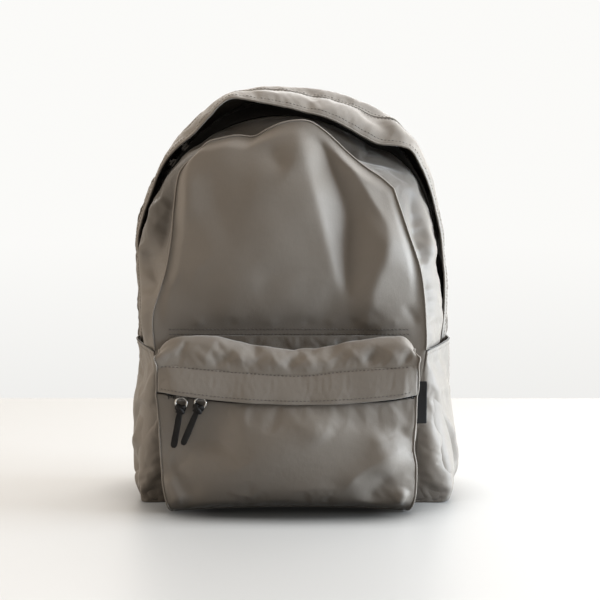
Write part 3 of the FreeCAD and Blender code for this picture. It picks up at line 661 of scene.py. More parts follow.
GREY = (0.232, 0.207, 0.180)
# Painted shade in hollows, as (reach in metres, open shares of the darkest and lightest places, how dark it
# gets); the gusset also gets the hood's painted shadow.
SHELL_PAINTED_HOLLOW_SHADE = (0.05, 0.12, 0.78, 0.38)
SHELL = cloth_material("shell", GREY, crumple=0.55, painted_hollow_shade=SHELL_PAINTED_HOLLOW_SHADE)
GUSSET = cloth_material("gusset", GREY, crumple=0.55, painted_hollow_shade=(0.09, 0.28, 0.96, 0.26), painted_hood_shade=True)
POCKET = cloth_material("pocket", GREY, crumple=0.75, painted_hollow_shade=(0.035, 0.12, 0.7, 0.45))
POCKET_TOP = cloth_material("pocket_top", GREY, crumple=0.75, painted_hollow_shade=(0.08, 0.35, 0.98, 0.2))
HOOD = cloth_material("hood", GREY, crumple=0.4, painted_hollow_shade=SHELL_PAINTED_HOLLOW_SHADE)
BASE = cloth_material("base", (0.15, 0.135, 0.118), crumple=0.4)
LINING = cloth_material("lining", (0.02, 0.019, 0.018), yarn_mm=0.3)
BINDING = cloth_material("binding", (0.045, 0.04, 0.036), yarn_mm=0.7, crumple=0.2, uv=False)
THREAD = thread_material("thread", (0.24, 0.215, 0.19))
# Real thread, darkened with painted shade that stands for the shadow in its stitch holes.
SHADED_THREAD = thread_material("shaded_thread", (0.1, 0.09, 0.08))
HOOD_THREAD = thread_material("hood_thread", (0.15, 0.134, 0.117))
TAPE = cloth_material("zip_tape", (0.014, 0.013, 0.012), yarn_mm=0.6, crumple=0.2, uv=False)
COIL = plastic_material("coil", (0.02, 0.019, 0.018))
LABEL = cloth_material("label", (0.012, 0.012, 0.013), yarn_mm=0.3, crumple=0.2, sheen=0.1)
MESH = mesh_material("mesh", (0.05, 0.047, 0.044))
WEBBING = webbing_material("webbing", (0.085, 0.076, 0.067))
LEATHER = leather_material("leather", (0.008, 0.007, 0.0065))
RING_METAL = metal_material("ring_metal", (0.78, 0.77, 0.74), 0.24)
SLIDER_METAL = metal_material("slider_metal", (0.30, 0.29, 0.28), 0.34)
BUCKLE = plastic_material("buckle", (0.02, 0.02, 0.02))
FOAM = foam_material("foam", (0.12, 0.12, 0.12))
BOARD = plastic_material("board", (0.05, 0.05, 0.05))


def stand_for(nodes):
    """Hides the CAD nodes that a piece stands for."""
    if nodes:
        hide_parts(*nodes)


def dress(piece, body, slot, *nodes):
    """Puts a finished piece on its body and hides the CAD nodes it stands for; its slot is not used."""
    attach(piece, body)
    stand_for(nodes)


def bend_between(piece, child, start, end, slot, *nodes):
    """Applies a finished piece's modifiers and bakes its transform, and hides the CAD nodes it stands for;
    the moving body, the two places and the slot are not used.
    """
    apply_modifiers(piece)
    Vector(end) * MM
    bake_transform(piece)
    stand_for(nodes)


# ---------------------------------------------------------------- the bag's outlines

ARCH_Z = 252.0  # the height of the centre of the arch
FOOT_Z = 150.0  # where the side pockets begin
LEG_STEP = 150 * math.pi / 180  # millimetres of leg for a degree past either end of the arch
FRONT_Y = -70.0
BACK_Y = 69.0

FRONT_LEFT = [
    (-120, 2), (-124, 80), (-134, 150), (-136, 183), (-128, 211), (-122, 231),
    (-117, 262), (-115, 289), (-110, 323), (-94, 341),
]  # fmt: skip
FRONT_TOP = [
    (-94, 341), (-83, 353), (-70, 357), (-54, 360), (-37, 359), (-24, 366), (-7, 373), (16, 374),
    (35, 362), (55, 343), (72, 329), (87, 319), (99.5, 308),
]  # fmt: skip
FRONT_RIGHT = [
    (119, 2), (123, 90), (131, 150), (131, 177), (129, 205), (125, 231), (114, 264), (99.5, 308),
]  # fmt: skip

# Radii about the arch's centre, at angles up from +X; the legs go on below 0 and above 180.
GUSSET_EDGE = [
    (-40, 145), (-20, 147), (0, 146), (15, 143), (30, 141), (42, 136), (50, 127), (60, 126), (74, 127),
    (90, 129), (103, 131), (118, 134), (132, 136), (149, 139), (160, 141), (180, 143), (200, 146),
    (220, 145),
]  # fmt: skip
HOOD_FREE = [
    (-40, 151), (-27, 155), (-15, 155.6), (-6, 154), (8, 150.6), (15, 150), (30, 152), (38, 153), (42, 148),
    (49, 134), (56, 130), (64, 130), (74, 132), (84, 134), (94, 139), (103, 147), (112, 158), (118, 157),
    (123, 153), (132, 149), (142, 152), (149, 153), (160, 152), (169, 154), (180, 157), (190, 154),
    (220, 150),
]  # fmt: skip
HOOD_SEAM = [
    (-40, 156), (-15, 157), (5, 154), (25, 157), (40, 162), (46, 161), (54, 157), (63, 153), (74, 150.5),
    (84, 151), (95, 155), (103, 160), (112, 163), (120, 161), (133, 157), (148, 155), (165, 155), (180, 158),
    (200, 157), (220, 155),
]  # fmt: skip
HOOD_TOP = [
    (-40, 160), (-24, 160.6), (-13, 159), (-2, 155.5), (9, 153.7), (21, 155.6), (31, 158), (40, 162),
    (46, 164.5), (56, 163.5), (65, 161.3), (77, 160.4), (90, 159.8), (110, 165.5), (116, 165), (123, 163),
    (133, 161), (148, 157.5), (157, 157), (175, 161), (184, 160.5), (192, 159), (198, 158), (206, 159.5),
    (220, 159),
]  # fmt: skip

# How far the gusset bellies out between its two seams, at angles as above.
GUSSET_BELLY = [
    (-40, 9), (-20, 9), (0, 8), (20, 4), (34, 0), (48, -7), (62, -12), (90, -14), (112, -13), (126, -6),
    (140, 2), (155, 9), (170, 15), (185, 18), (200, 16), (220, 11),
]  # fmt: skip
# The share of the front panel's belly, from its left edge to its right.
FRONT_BELLY = [
    (0, 0), (0.06, 0.34), (0.16, 0.68), (0.3, 0.93), (0.45, 1.0), (0.6, 0.93), (0.76, 0.66), (0.9, 0.3),
    (1, 0),
]  # fmt: skip


def arch_point(phi, radius, y):
    """Places on the arch at an angle; past either end the arch goes on down as a straight leg."""
    phi = np.asarray(phi, float)
    turn = np.radians(np.clip(phi, 0, 180))
    drop = np.minimum(phi, 0) + np.minimum(180 - phi, 0)
    return line_at(radius * np.cos(turn), y, ARCH_Z + radius * np.sin(turn) + drop * LEG_STEP)


def arch_stations(count, foot_z=FOOT_Z):
    """Angles from the left foot, over the top, to the right foot."""
    past = (ARCH_Z - foot_z) / LEG_STEP
    return np.linspace(180 + past, -past, count)


def out_from_arch(phi):
    """The arch's centre line, and the direction out from it, at each angle."""
    base = arch_point(phi, np.zeros(len(phi)), 0.0)
    return base, arch_point(phi, np.ones(len(phi)), 0.0) - base


def front_seam(points, count):
    """The front panel's seam: upright to begin with, then leaning back towards the crown."""
    x, z = spline(points, count).T
    return line_at(x, FRONT_Y + 22 * ease(z, 245, 378), z)


# ---------------------------------------------------------------- main compartment

FOLD_HOLLOW = [(160, 56), (200, 54), (240, 52), (280, 54), (304, 49), (328, 38), (356, 20)]
FOLD_RIDGE = [
    (172, 92), (197, 82), (214, 74), (224, 78), (241, 86), (264, 94), (306, 96), (340, 62), (362, 38),
]  # fmt: skip
# Folds are (path, width, height, share of the length that fades, and how crisp where that matters).
FRONT_FOLDS = [
    ([(-104, 334), (-101, 300), (-105, 262)], 12, 4, 0.4),
    ([(-76, 345), (-74, 300), (-56, 240)], 20, -2.6, 0.45),
    ([(-130, 205), (-112, 214), (-96, 236)], 9, -2.5, 0.4),
    ([(122, 172), (119, 184), (108, 196)], 5, -2.6, 0.4),
    ([(88, 171), (84, 182), (74, 192)], 6, -1.6, 0.4),
    ([(8, 366), (6, 340), (12, 316)], 20, 2.4, 0.45),
    ([(-24, 356), (-16, 338), (0, 326)], 11, -3.2, 0.4),
]
# Small gathers just above the pocket's seam, as (x, height).
SEAM_GATHERS = [
    (-92, 1.0), (-60, -0.8), (-21, 0.7), (14, -0.8), (38, 0.8), (58, -1.0), (72, 1.0), (100, 1.2),
]  # fmt: skip
GUSSET_FOLDS = [
    ([(118, 316), (121, 280), (123, 240), (125, 215)], 6, -6, 0.3),
    ([(133, 286), (135, 255), (136, 226)], 5, 4, 0.3),
    ([(124, 222), (130, 205), (133, 176)], 5, -5, 0.3),
    ([(-118, 318), (-122, 290), (-126, 262), (-131, 238)], 6, -7, 0.3),
    ([(-135, 306), (-139, 280), (-140, 256)], 5, 3.5, 0.3),
    ([(-150, 276), (-151, 255), (-146, 236)], 5, 4, 0.3),
    ([(-146, 244), (-138, 225), (-133, 206)], 7, -6, 0.3),
    ([(-140, 206), (-147, 182), (-149, 158)], 6, 3.5, 0.3),
]
HOOD_FOLDS = [
    ([(100, 362), (86, 377), (66, 386)], 7, -4, 0.4),
    ([(112, 352), (104, 372), (92, 386)], 6, 3, 0.4),
    ([(-92, 388), (-70, 402), (-44, 408)], 6, 2, 0.4),
    ([(4, 384), (18, 396), (26, 412)], 7, -1.6, 0.4),
]
POCKET_SEAM_Z = 168  # below this the front panel lies flat behind the pocket
SEAM_ROWS_Z = (170.8, 166.0)


def big_fold(grid):
    """The deep crease at the right: a long slope into a hollow, and a ridge that stands beyond it."""
    x, z = grid[..., 0], grid[..., 2]
    start = np.interp(z, [205, 330, 356], [47, 10, 0])
    hollow = table_at(z, FOLD_HOLLOW)
    ridge = np.interp(z, *zip(*FOLD_RIDGE))
    finish = np.maximum(ridge + 30, 124)
    deep = -15 * ease(z, 206, 236) * (1 - ease(z, 322, 366))
    tall = (7.5 * ease(z, 167, 196) + 2.5 * ease(z, 208, 244)) * (1 - ease(z, 282, 318))
    shift = np.zeros_like(x)
    for row in range(len(grid)):
        places = [line[row].mean() for line in (start, hollow, ridge, finish)]
        shift[row] = np.interp(x[row], places, [0, deep[row].mean(), tall[row].mean(), 0], 0, 0)
    shift = spread_out(shift[..., None], 5, 0.5)[..., 0]
    shift *= ease(steps_from_end(x.shape[1]), 0, 5)[None, :]
    shift *= ease(np.arange(len(x))[::-1], 0, 7)[:, None]
    grid = grid.copy()
    grid[..., 1] -= shift
    return grid


def make_front_panel():
    """The front of the main compartment: bellied, with a deep fold down its right-hand side."""
    columns, rows = 100, 126
    low = front_seam([(-120, 2), (0, 2), (119, 2)], columns)
    left, right = front_seam(FRONT_LEFT, rows), front_seam(FRONT_RIGHT, rows)
    grid = coons(low, front_seam(FRONT_TOP, columns), left, right)
    sewn = grid.copy()
    z = grid[..., 2]
    round_plan = table_at(np.linspace(0, 1, columns), FRONT_BELLY)[None, :]
    grid[..., 1] -= 19 * round_plan * ease(z, 166, 222) * (1 - 0.8 * ease(z, 296, 378))
    held = border(grid) | (z < POCKET_SEAM_Z)
    grid = calm(grid, drape(grid, held, pressure=1.0, slack=0.005), 14)
    grid = big_fold(grid)
    grid = add_folds(grid, FROM_FRONT, FRONT_FOLDS)
    for x, high in SEAM_GATHERS:
        grid = fold(grid, FROM_FRONT, [(x, 171), (x + 1, 177), (x + 2, 184)], 4.5, high, 0.5)
    grid = rumple(grid, 60, 0, 0.5, ease(z, 175, 220))
    grid = keep_edges(sewn, grid, 6)
    dress(sheet("front_panel_cloth", grid, SHELL), "bag", "shell_fabric", "front_panel")
    seam = []
    for height in SEAM_ROWS_Z:
        points, ups = level_line(grid, height, -121, 118)
        seam.append(stitches("seam_stitch", points, ups, SHADED_THREAD, 2.3, 1.4, 0.45, 0.25))
    dress(join("front_panel_stitches", seam), "bag", "shell_fabric")


def gusset_seam(count):
    """The front seam from the left foot, over the crown, to the right foot, above the side pockets."""
    left, top, right = (front_seam(part, 400) for part in (FRONT_LEFT, FRONT_TOP, FRONT_RIGHT))
    right = right[::-1][1:]
    return resample(np.vstack([left[left[:, 2] >= FOOT_Z], top[1:], right[right[:, 2] >= FOOT_Z]]), count)


def keep_within(grid, phi, limit):
    """Softly holds a grid round the arch inside a radius at each angle."""
    base, out = out_from_arch(phi)
    radius = ((grid - base[None]) * out[None]).sum(2)
    over = radius - limit[None, :]
    pull = np.where(over > -2, over + 2, 0)
    pull = pull - 2 * np.tanh(pull / 2)
    return grid - out[None] * pull[..., None]


def make_front_gusset():
    """The band between the front panel and the zip, which slumps into hollows at the sides."""
    columns, rows = 190, 26
    back_y = 4.0
    phi = arch_stations(columns)
    front = gusset_seam(columns)
    back = arch_point(phi, table_at(phi, GUSSET_EDGE), back_y)
    radial = back - [0, back_y, ARCH_Z]
    radial[:, 2] = np.maximum(radial[:, 2], 0)
    radial /= np.linalg.norm(radial, axis=1, keepdims=True)
    middle = 0.5 * (front + back) + radial * table_at(phi, GUSSET_BELLY)[:, None]
    before = 0.5 * (front + middle) + radial * 1.6
    after = 0.5 * (middle + back) + radial * 1.4
    sewn = loft([front, before, middle, after, back], rows)
    grid = drape(sewn, border(sewn), pressure=0.8, slack=0.02)
    grid = add_folds(grid, FROM_FRONT, GUSSET_FOLDS)
    grid = rumple(grid, 34, 1, 0.8)
    grid = keep_edges(sewn, grid, 3)
    grid = keep_within(grid, phi, table_at(phi, HOOD_FREE) - 3.0)
    dress(sheet("front_gusset_cloth", grid, GUSSET), "bag", "shell_fabric", "front_gusset")
    welt = tube("front_seam_welt", front + radial * 0.2, 0.85, SHELL, sides=6)
    dress(welt, "bag", "shell_fabric")


def zip_radius(phi):
    """The zip runs round its arch, and sinks with the hood where the hood has slumped."""
    return np.minimum(146.0, table_at(phi, HOOD_FREE) + 1.5)


def coil_teeth(name, path, ups, across, pitch=2.4, radius=0.55, reach=2.0):
    """The coil of a zip: one small bent tooth after another, from each side in turn."""
    along = distances_along(path)
    bend = [(-0.35, 0.0), (0.1, 0.75), (0.55, 0.9), (1.0, 0.2)]
    tooth = grid_faces(4, 4, closed=True) + end_faces(4, 4)
    vertices, faces = [], []
    for number in range(int(along[-1] / pitch)):
        where = (number + 0.5) * pitch
        spot, up, side = (at_distance(where, along, line) for line in (path, ups, across))
        side = side * (1 if number % 2 else -1)
        ahead = np.cross(up, side)
        base = len(vertices)
        for reach_share, rise in bend:
            centre = spot + side * reach * reach_share + up * rise
            for quarter in (0.25, 0.75, 1.25, 1.75):
                turn = quarter * math.pi
                vertices.append(centre + radius * (math.cos(turn) * ahead + math.sin(turn) * up))
        faces += [tuple(base + corner for corner in face) for face in tooth]
    piece = new_object(name, vertices, faces)
    piece.data.materials.append(COIL)
    dress(piece, "bag", "zip_tape")


def make_main_zip():
    """Both tapes and the closed coil between them."""
    columns, coil_y = 220, 14.0
    phi = arch_stations(columns)
    zip_r = zip_radius(phi)
    gusset = table_at(phi, GUSSET_EDGE)
    tapes = {
        "front": [(gusset + 0.8, 2.0), (0.5 * (gusset + zip_r) + 0.5, 6.5), (zip_r - 0.4, coil_y - 1)],
        "rear": [(zip_r - 0.4, coil_y + 1), (zip_r, 19.0), (zip_r - 1.0, 23.5)],
    }
    for name, sections in tapes.items():
        grid = loft([arch_point(phi, radius, y) for radius, y in sections], 7)
        tape = sheet(f"main_zip_{name}_tape_cloth", grid, TAPE, 0.7)
        dress(tape, "bag", "zip_tape", f"main_zip_{name}_tape")
    radial = arch_point(phi, zip_r + 1, coil_y) - arch_point(phi, zip_r, coil_y)
    across = line_at(0.0, np.ones(columns), 0.0)
    coil_teeth("main_zip_coil", arch_point(phi, zip_r - 0.2, coil_y), radial, across)


def hold_hood_outline(grid, top, phi):
    """Draws the hood's highest row back to its outline after it has been draped."""
    base, out = out_from_arch(phi)
    radius = ((grid - base[None]) * out[None]).sum(2)
    excess = np.where(grid[..., 1] > 12, radius, 0).max(0) - top
    excess = np.convolve(np.pad(excess, 4, "edge"), np.full(9, 1 / 9), "valid")
    share = ease(grid[..., 1], -4, 20) * (1 - ease(grid[..., 1], 34, 43))
    return grid - out[None] * (excess[None, :] * share)[..., None]


def make_hood():
    """The rain hood over the zip: a visor sewn to a broad top piece, slumped at the upper right."""
    columns, rows = 210, 22
    seam_y, rear_y, rear_radius = 16.0, 44.0, 147.6
    phi = arch_stations(columns, 148.5)
    free, seam, top = (table_at(phi, values) for values in (HOOD_FREE, HOOD_SEAM, HOOD_TOP))
    visor_y = -5.0 - 14.0 * ease(phi, 12, 44) * (1 - ease(phi, 136, 168))
    sections = [
        (visor_y, free), (0.5 * visor_y + 5.0, free * 0.35 + seam * 0.65 + 1.2), (seam_y, seam + 0.5),
        (28.0, top), (37.0, top * 0.62 + 147.5 * 0.38 + 1), (rear_y, np.full(columns, rear_radius)),
    ]  # fmt: skip
    grid = loft([arch_point(phi, radius, y) for y, radius in sections], rows)
    held = border(grid) | (abs(grid[..., 1] - seam_y) < 1.3)
    grid = drape(grid, held, pressure=0.5, slack=0.012)
    grid = add_folds(grid, FROM_FRONT, HOOD_FOLDS)
    grid = rumple(grid, 40, 2, 0.9)
    grid = hold_hood_outline(grid, top, phi)
    dress(sheet("hood_cloth", grid, HOOD, 2.0), "bag", "hood_fabric", "main_zip_hood")
    seam_row = float(np.argmin(abs(grid[:, columns // 2, 1] - seam_y)))
    lines = []
    for row in (1.5, seam_row - 0.7, seam_row + 0.9):
        lines.append(stitches("hood_stitch", *row_line(grid, row), HOOD_THREAD, 2.3, 1.4, 0.32, 0.12))
    dress(join("hood_stitches", lines), "bag", "hood_fabric")
    points, ups = row_line(grid, seam_row)
    dress(tube("hood_seam_welt", points + ups * 0.1, 0.9, HOOD, sides=6), "bag", "hood_fabric")
    hem = tube("hood_edge_hem", grid[0] - grid_normals(grid)[0] * 1.0, 1.15, HOOD)
    dress(hem, "bag", "hood_fabric")


OUT_OF_BACK = (0.0, 1.0, 0.0)
BACK_RADIUS = 142
BACK_ARCH_Z = 249


def back_arch(count):
    """The back seam's arch, from left to right."""
    turn = np.radians(np.linspace(180, 0, count))
    return line_at(BACK_RADIUS * np.cos(turn), BACK_Y, BACK_ARCH_Z + BACK_RADIUS * np.sin(turn))


def make_rear_gusset():
    """The band from the zip's rear tape to the back panel."""
    columns, rows = 180, 20
    phi = arch_stations(columns)
    sections = [(22.5, 144.6), (34.0, 145.2), (45.0, 147.0), (56.0, 147.6), (64.0, 145.6), (BACK_Y, 142.4)]
    grid = loft([arch_point(phi, np.full(columns, radius), y) for y, radius in sections], rows)
    feet = [[[side * 141.0, BACK_Y, FOOT_Z]] for side in (-1, 1)]
    back = resample(np.vstack([feet[0], back_arch(200), feet[1]]), columns)
    share = np.linspace(0, 1, rows)[:, None, None] ** 6
    grid = grid * (1 - share) + back[None] * share
    grid = drape(grid, border(grid, 2), pressure=0.8, slack=0.015)
    grid = rumple(grid, 34, 3, 1.3)
    dress(sheet("rear_gusset_cloth", grid, SHELL), "bag", "shell_fabric", "rear_gusset")


QUILT_ROWS_Z = (120.0, 222.0)


def make_back_panel():
    """The padded back: two soft columns with a channel down the spine, quilted across twice."""
    columns, rows = 96, 110
    high = back_arch(columns)
    low = line_at(np.linspace(-140, 140, columns), BACK_Y, 2.0)
    upright = np.linspace(0, 1, rows)
    left = line_at(-140 - 2 * upright, BACK_Y, 2 + 247 * upright)
    right = left * [-1, 1, 1]
    grid = coons(low, high, left, right)
    x, z = abs(grid[..., 0]), grid[..., 2]
    puff = ease(x, 5, 20) * (1 - ease(x, 96, 116)) * ease(z, 14, 34) * (1 - ease(z, 316, 338))
    for seam_z in QUILT_ROWS_Z:
        puff = puff * (1 - 0.75 * np.exp(-(((z - seam_z) / 5) ** 2)))
    grid[..., 1] += 0.8 + 4.2 * puff + 0.5 * smooth_noise(grid, 45, 4) * puff
    dress(sheet("back_panel_cloth", grid[:, ::-1], MESH, 1.5), "bag", "mesh", "back_panel")
    lines = []
    for seam_z in QUILT_ROWS_Z:
        for side in (-1, 1):
            path = line_at(side * np.linspace(10, 108, 60), 71.6, seam_z)
            lines.append(stitches("quilt", path, OUT_OF_BACK, SHADED_THREAD, lift=-0.1))
    for spine_x in (-4.5, 4.5):
        path = line_at(spine_x, 70.2, np.linspace(24, 330, 60))
        lines.append(stitches("quilt", path, OUT_OF_BACK, SHADED_THREAD))
    dress(join("back_quilting", lines), "bag", "mesh")
    outline = np.vstack([left[:-1], high, right[::-1][1:]])
    dress(tube("back_seam_binding", outline + [[0, 0.4, 0]], 1.6, BINDING), "bag", "binding")


def make_base():
    """The base: one soft sheet with rounded corners that turns up a little at its edges."""
    columns, rows = 70, 34
    front = line_at(np.linspace(-145, 148, columns), -69.5, 1.0)
    back = line_at(np.linspace(-139.5, 139.5, columns), 69.0, 1.0)
    t = np.linspace(0, 1, rows)
    bow = 6.5 * np.sin(math.pi * t)
    y = -69.5 + 138.5 * t
    grid = coons(front, back, line_at(-145 + 5.5 * t - bow, y, 1.0), line_at(148 - 8.5 * t + bow, y, 1.0))
    grid[..., 2] = 1.2 + 0.25 * smooth_noise(grid, 50, 5) + 0.8 * border(grid)
    dress(sheet("base_cloth", grid, BASE, 1.0), "bag", "base_fabric", "base_panel")


def make_sleeve():
    """The laptop sleeve inside: a loose sheet with a bound top edge."""
    half_wide = 115
    x, z = np.meshgrid(np.linspace(-half_wide, half_wide, 40), np.linspace(7.5, 256, 40))
    slack = np.cos(x / half_wide * math.pi / 2) * ease(z, 7, 60)
    grid = line_at(x, 52.0 - 3.0 * slack, z)
    grid[..., 1] += 0.4 * smooth_noise(grid, 50, 6) * slack
    dress(sheet("laptop_sleeve_cloth", grid, LINING, 0.9), "bag", "lining", "laptop_sleeve")
    edge = ribbon("laptop_sleeve_edge", grid[-1] + [[0, 0.4, 1.0]], (0, 0, 1), 5, 2.2, BINDING)
    dress(edge, "bag", "binding", "laptop_sleeve_binding")


# ---------------------------------------------------------------- side pockets

# The side pocket's widest place, as (height, distance from the middle).
LEFT_SIDE = [
    (-1, 149), (3, 151), (18, 156.5), (52, 161.5), (92, 161), (116, 157.5), (134, 155), (151, 158),
]  # fmt: skip
RIGHT_SIDE = [
    (-1, 154), (5, 159), (20, 165), (33, 168.5), (64, 166), (90, 163), (126, 159.6), (151, 159.6),
]  # fmt: skip
# The side's plan, as (y, share of its full width): squarer at the foot, and slacker at the mouth.
SIDE_SQUARE = [
    (-70, 0.0), (-70.5, 0.46), (-69, 0.9), (-50, 1.0), (-14, 1.0), (20, 0.94),
    (44, 0.70), (60, 0.35), (BACK_Y, 0.0),
]  # fmt: skip
SIDE_ROUND = [
    (-70, 0.0), (-69, 0.30), (-62, 0.62), (-44, 0.86), (-14, 1.0), (20, 0.98),
    (44, 0.76), (60, 0.38), (BACK_Y, 0.0),
]  # fmt: skip
SIDE_MOUTH = [
    (-70, 0.0), (-69, 0.10), (-62, 0.24), (-44, 0.58), (-14, 1.0), (14, 1.0),
    (44, 0.9), (60, 0.45), (BACK_Y, 0.0),
]  # fmt: skip
LEFT_POCKET_FOLDS = [
    ([(-60, 40), (-40, 24), (-18, 10)], 6, -5, 0.3),
    ([(-64, 12), (-44, 22), (-20, 42), (0, 66)], 6, 5, 0.3),
    ([(-58, 66), (-44, 58), (-24, 38)], 5, 3.5, 0.3),
    ([(-56, 126), (-30, 118), (4, 122)], 9, -3, 0.3),
    ([(-64, 96), (-40, 84), (-22, 62)], 7, -3.5, 0.3),
]
RIGHT_POCKET_FOLDS = [
    ([(-62, 92), (-40, 72), (-26, 38), (-12, 4)], 5, 5, 0.3),
    ([(-60, 64), (-48, 40), (-40, 10)], 7, -4.5, 0.3),
    ([(-36, 124), (-14, 112), (6, 98)], 8, -4.5, 0.3),
    ([(-8, 76), (6, 44), (10, 14)], 9, -3, 0.3),
]
BOTH_POCKETS_FOLDS = [
    ([(30, 130), (24, 90), (34, 50)], 9, -3.5, 0.4),
    ([(52, 20), (36, 44), (10, 60)], 7, 3, 0.4),
]


def side_grid(side, z_values, middle, columns, proud):
    """A side sheet from the front seam to the back seam, bellied out to middle."""
    x_values, heights = zip(*(FRONT_RIGHT if side > 0 else FRONT_LEFT))
    rows = []
    for z, out in zip(z_values, middle):
        front, back = np.interp(z, heights, x_values), side * 140.5
        square = 1 - float(ease(z, 4, 90))
        mouth = float(ease(z, 96, 150))
        weights = (1 - square - mouth, square, mouth)
        points = []
        for plans in zip(SIDE_ROUND, SIDE_SQUARE, SIDE_MOUTH):
            y, share = (sum(weight * plan[part] for weight, plan in zip(weights, plans)) for part in (0, 1))
            t = (y - FRONT_Y) / (BACK_Y - FRONT_Y)
            straight = front * (1 - t) + back * t
            points.append((straight * (1 - share) + side * out * share + side * proud, y, z))
        rows.append(spline(points, columns))
    grid = np.array(rows)
    return grid if side > 0 else grid[:, ::-1]


def lift_mouth(grid, side, z_values):
    """Raises a pocket's mouth from its front edge to its widest place."""
    widest = np.maximum.accumulate(side * (grid if side > 0 else grid[:, ::-1])[..., 0], axis=1)
    share = (widest - widest[:, :1]) / (widest[:, -1:] - widest[:, :1])
    rise = 7 * share * ease(z_values, 96, 150)[:, None]
    grid[..., 2] += rise if side > 0 else rise[:, ::-1]


def make_side(name, side, profile, folds):
    """One side of the bag: the panel behind, and the open pocket with its bound mouth."""
    columns, rows = 60, 60
    z_values = np.linspace(2, 152, 30)
    middle = table_at(z_values, profile) - 4.5 + 3.0 * ease(z_values, 105, 150)
    inner = sheet(f"{name}_side_panel_cloth", side_grid(side, z_values, middle, 40, -1.2), SHELL, 1.0)
    dress(inner, "bag", "shell_fabric", f"{name}_side_panel")
    z_values = np.concatenate([[-0.2], np.linspace(1.5, 149.5, rows - 1)])
    outline = table_at(z_values, profile)
    grid = side_grid(side, z_values, outline, columns, 0.8)
    lift_mouth(grid, side, z_values)
    grid = drape(grid, border(grid), pressure=0.8, slack=0.02)
    grid = add_folds(grid, FROM_SIDE, folds + BOTH_POCKETS_FOLDS)
    grid = rumple(grid, 32, 8 + side, 0.7)
    excess = (side * grid[..., 0]).max(1) - outline
    grid[..., 0] -= side * excess[:, None] * np.sin(math.pi * np.linspace(0, 1, columns)) ** 0.5
    pocket = sheet(f"{name}_side_pocket_cloth", grid, SHELL)
    dress(pocket, "bag", "shell_fabric", f"{name}_side_pocket")
    mouth = grid[-1] + grid_normals(grid)[-1] * -0.4 + [[0, 0, 0.1]]
    edge = ribbon(f"{name}_side_pocket_binding_tape", mouth, (0, 0, 1), 1.3, 1.6, BINDING)
    dress(edge, "bag", "binding", f"{name}_pocket_binding")
    thread = stitches(f"{name}_side_pocket_stitches", *row_line(grid, rows - 2.6), THREAD, lift=0.2)
    dress(thread, "bag", "shell_fabric")


# ---------------------------------------------------------------- front pocket

POCKET_LEFT = [
    (-113, 0.5), (-116.5, 5), (-119.4, 12), (-122.6, 32), (-124.7, 63), (-126, 90), (-128, 112),
    (-130.5, 127), (-131, 146),
]  # fmt: skip
POCKET_RIGHT = [
    (109, 0.5), (113.5, 5), (117, 12), (118.5, 25), (118.5, 46), (116, 60), (116.5, 72), (118, 90),
    (118.5, 110), (120.5, 130), (122, 144),
]  # fmt: skip
CREST = [
    (-126, 157), (-119, 162.5), (-104, 167), (-76, 167.5), (-59, 164.5), (-33, 159.5), (7, 157), (33, 158.5),
    (55, 162), (76, 165.5), (96, 167.5), (106, 167.5), (113, 164), (117, 158),
]  # fmt: skip
STITCH_LINE = [(-128, 142), (-108, 142), (-53, 137), (8, 133.5), (50, 138), (97, 141), (121, 143)]
FLAP_EDGE = [
    (-126, 117), (-120, 116.5), (-97, 113.2), (-58, 108.5), (0, 105.5), (50, 106.5), (93, 110), (117, 114),
]  # fmt: skip
FACE_FOLDS = [
    ([(46, 20), (64, 41), (92, 56), (114, 66)], 10, 4.5, 0.25, 1.3),
    ([(74, 8), (80, 22), (96, 36)], 9, -3.5, 0.3),
    ([(103, 6), (104, 15), (108, 25)], 6.5, 5, 0.35),
    ([(82, 68), (98, 76), (116, 80)], 8, -3, 0.3),
    ([(30, 102), (26, 86), (34, 70)], 12, 2.2, 0.4),
    ([(90, 84), (88, 62), (94, 34)], 17, 4.2, 0.3, 2.0),
    ([(-112, 60), (-104, 36), (-84, 14)], 9, -3.5, 0.3),
    ([(-118, 40), (-110, 20), (-104, 7)], 6, 3, 0.3),
    ([(-10, 100), (14, 84), (40, 78)], 12, 1.8, 0.4),
    ([(40, 98), (66, 88), (90, 92)], 9, -2, 0.4),
]
# Wrinkles across the pocket's roll, as (x, z, slant, height, width).
ROLL_WRINKLES = [
    (-104, 149, 12, -2.2, 5), (-84, 151, -13, 2.2, 5), (-64, 149, 13, -3.0, 4), (-49, 150, -10, 2.8, 4),
    (-33, 147, 12, -2.6, 4), (-14, 146, -11, 2.4, 4), (0, 147, 9, -3.0, 4), (16, 148, -9, 2.2, 4),
    (44, 149, 12, -2.0, 5), (62, 151, -9, 3.0, 4), (74, 150, 9, -2.8, 4), (96, 152, -8, 2.6, 5),
    (109, 150, 7, -2.8, 4),
]  # fmt: skip
# Wrinkles on the pocket's top, as (x, slant, height).
SHELF_WRINKLES = [(-95, 10, 0.8), (-60, -8, -0.9), (-22, 9, 0.8), (12, -7, -0.8), (52, 9, 0.9), (88, -8, 1.0)]
SHELF_Y = -113  # where the pocket's front turns over into its top
POCKET_BACK_Y = -70.6
FLAP_LEFT, FLAP_RIGHT = -126.5, 119.0


def pocket_edge(outline, z):
    """The x of the pocket's front edge at a height."""
    return table_at(z, [(height, x) for x, height in outline])


def roll_under(grid, radius):
    """Curls the lowest part of an upright sheet back under itself."""
    height = np.clip((grid[..., 2] - grid[:1, :, 2]) / radius, 0, 1)
    turn = (1 - height) * math.pi / 2
    low = height < 1
    grid = grid.copy()
    grid[..., 1] += np.where(low, radius * (1 - np.cos(turn)), 0)
    grid[..., 2] = np.where(low, grid[:1, :, 2] + radius * (1 - np.sin(turn)), grid[..., 2])
    return grid


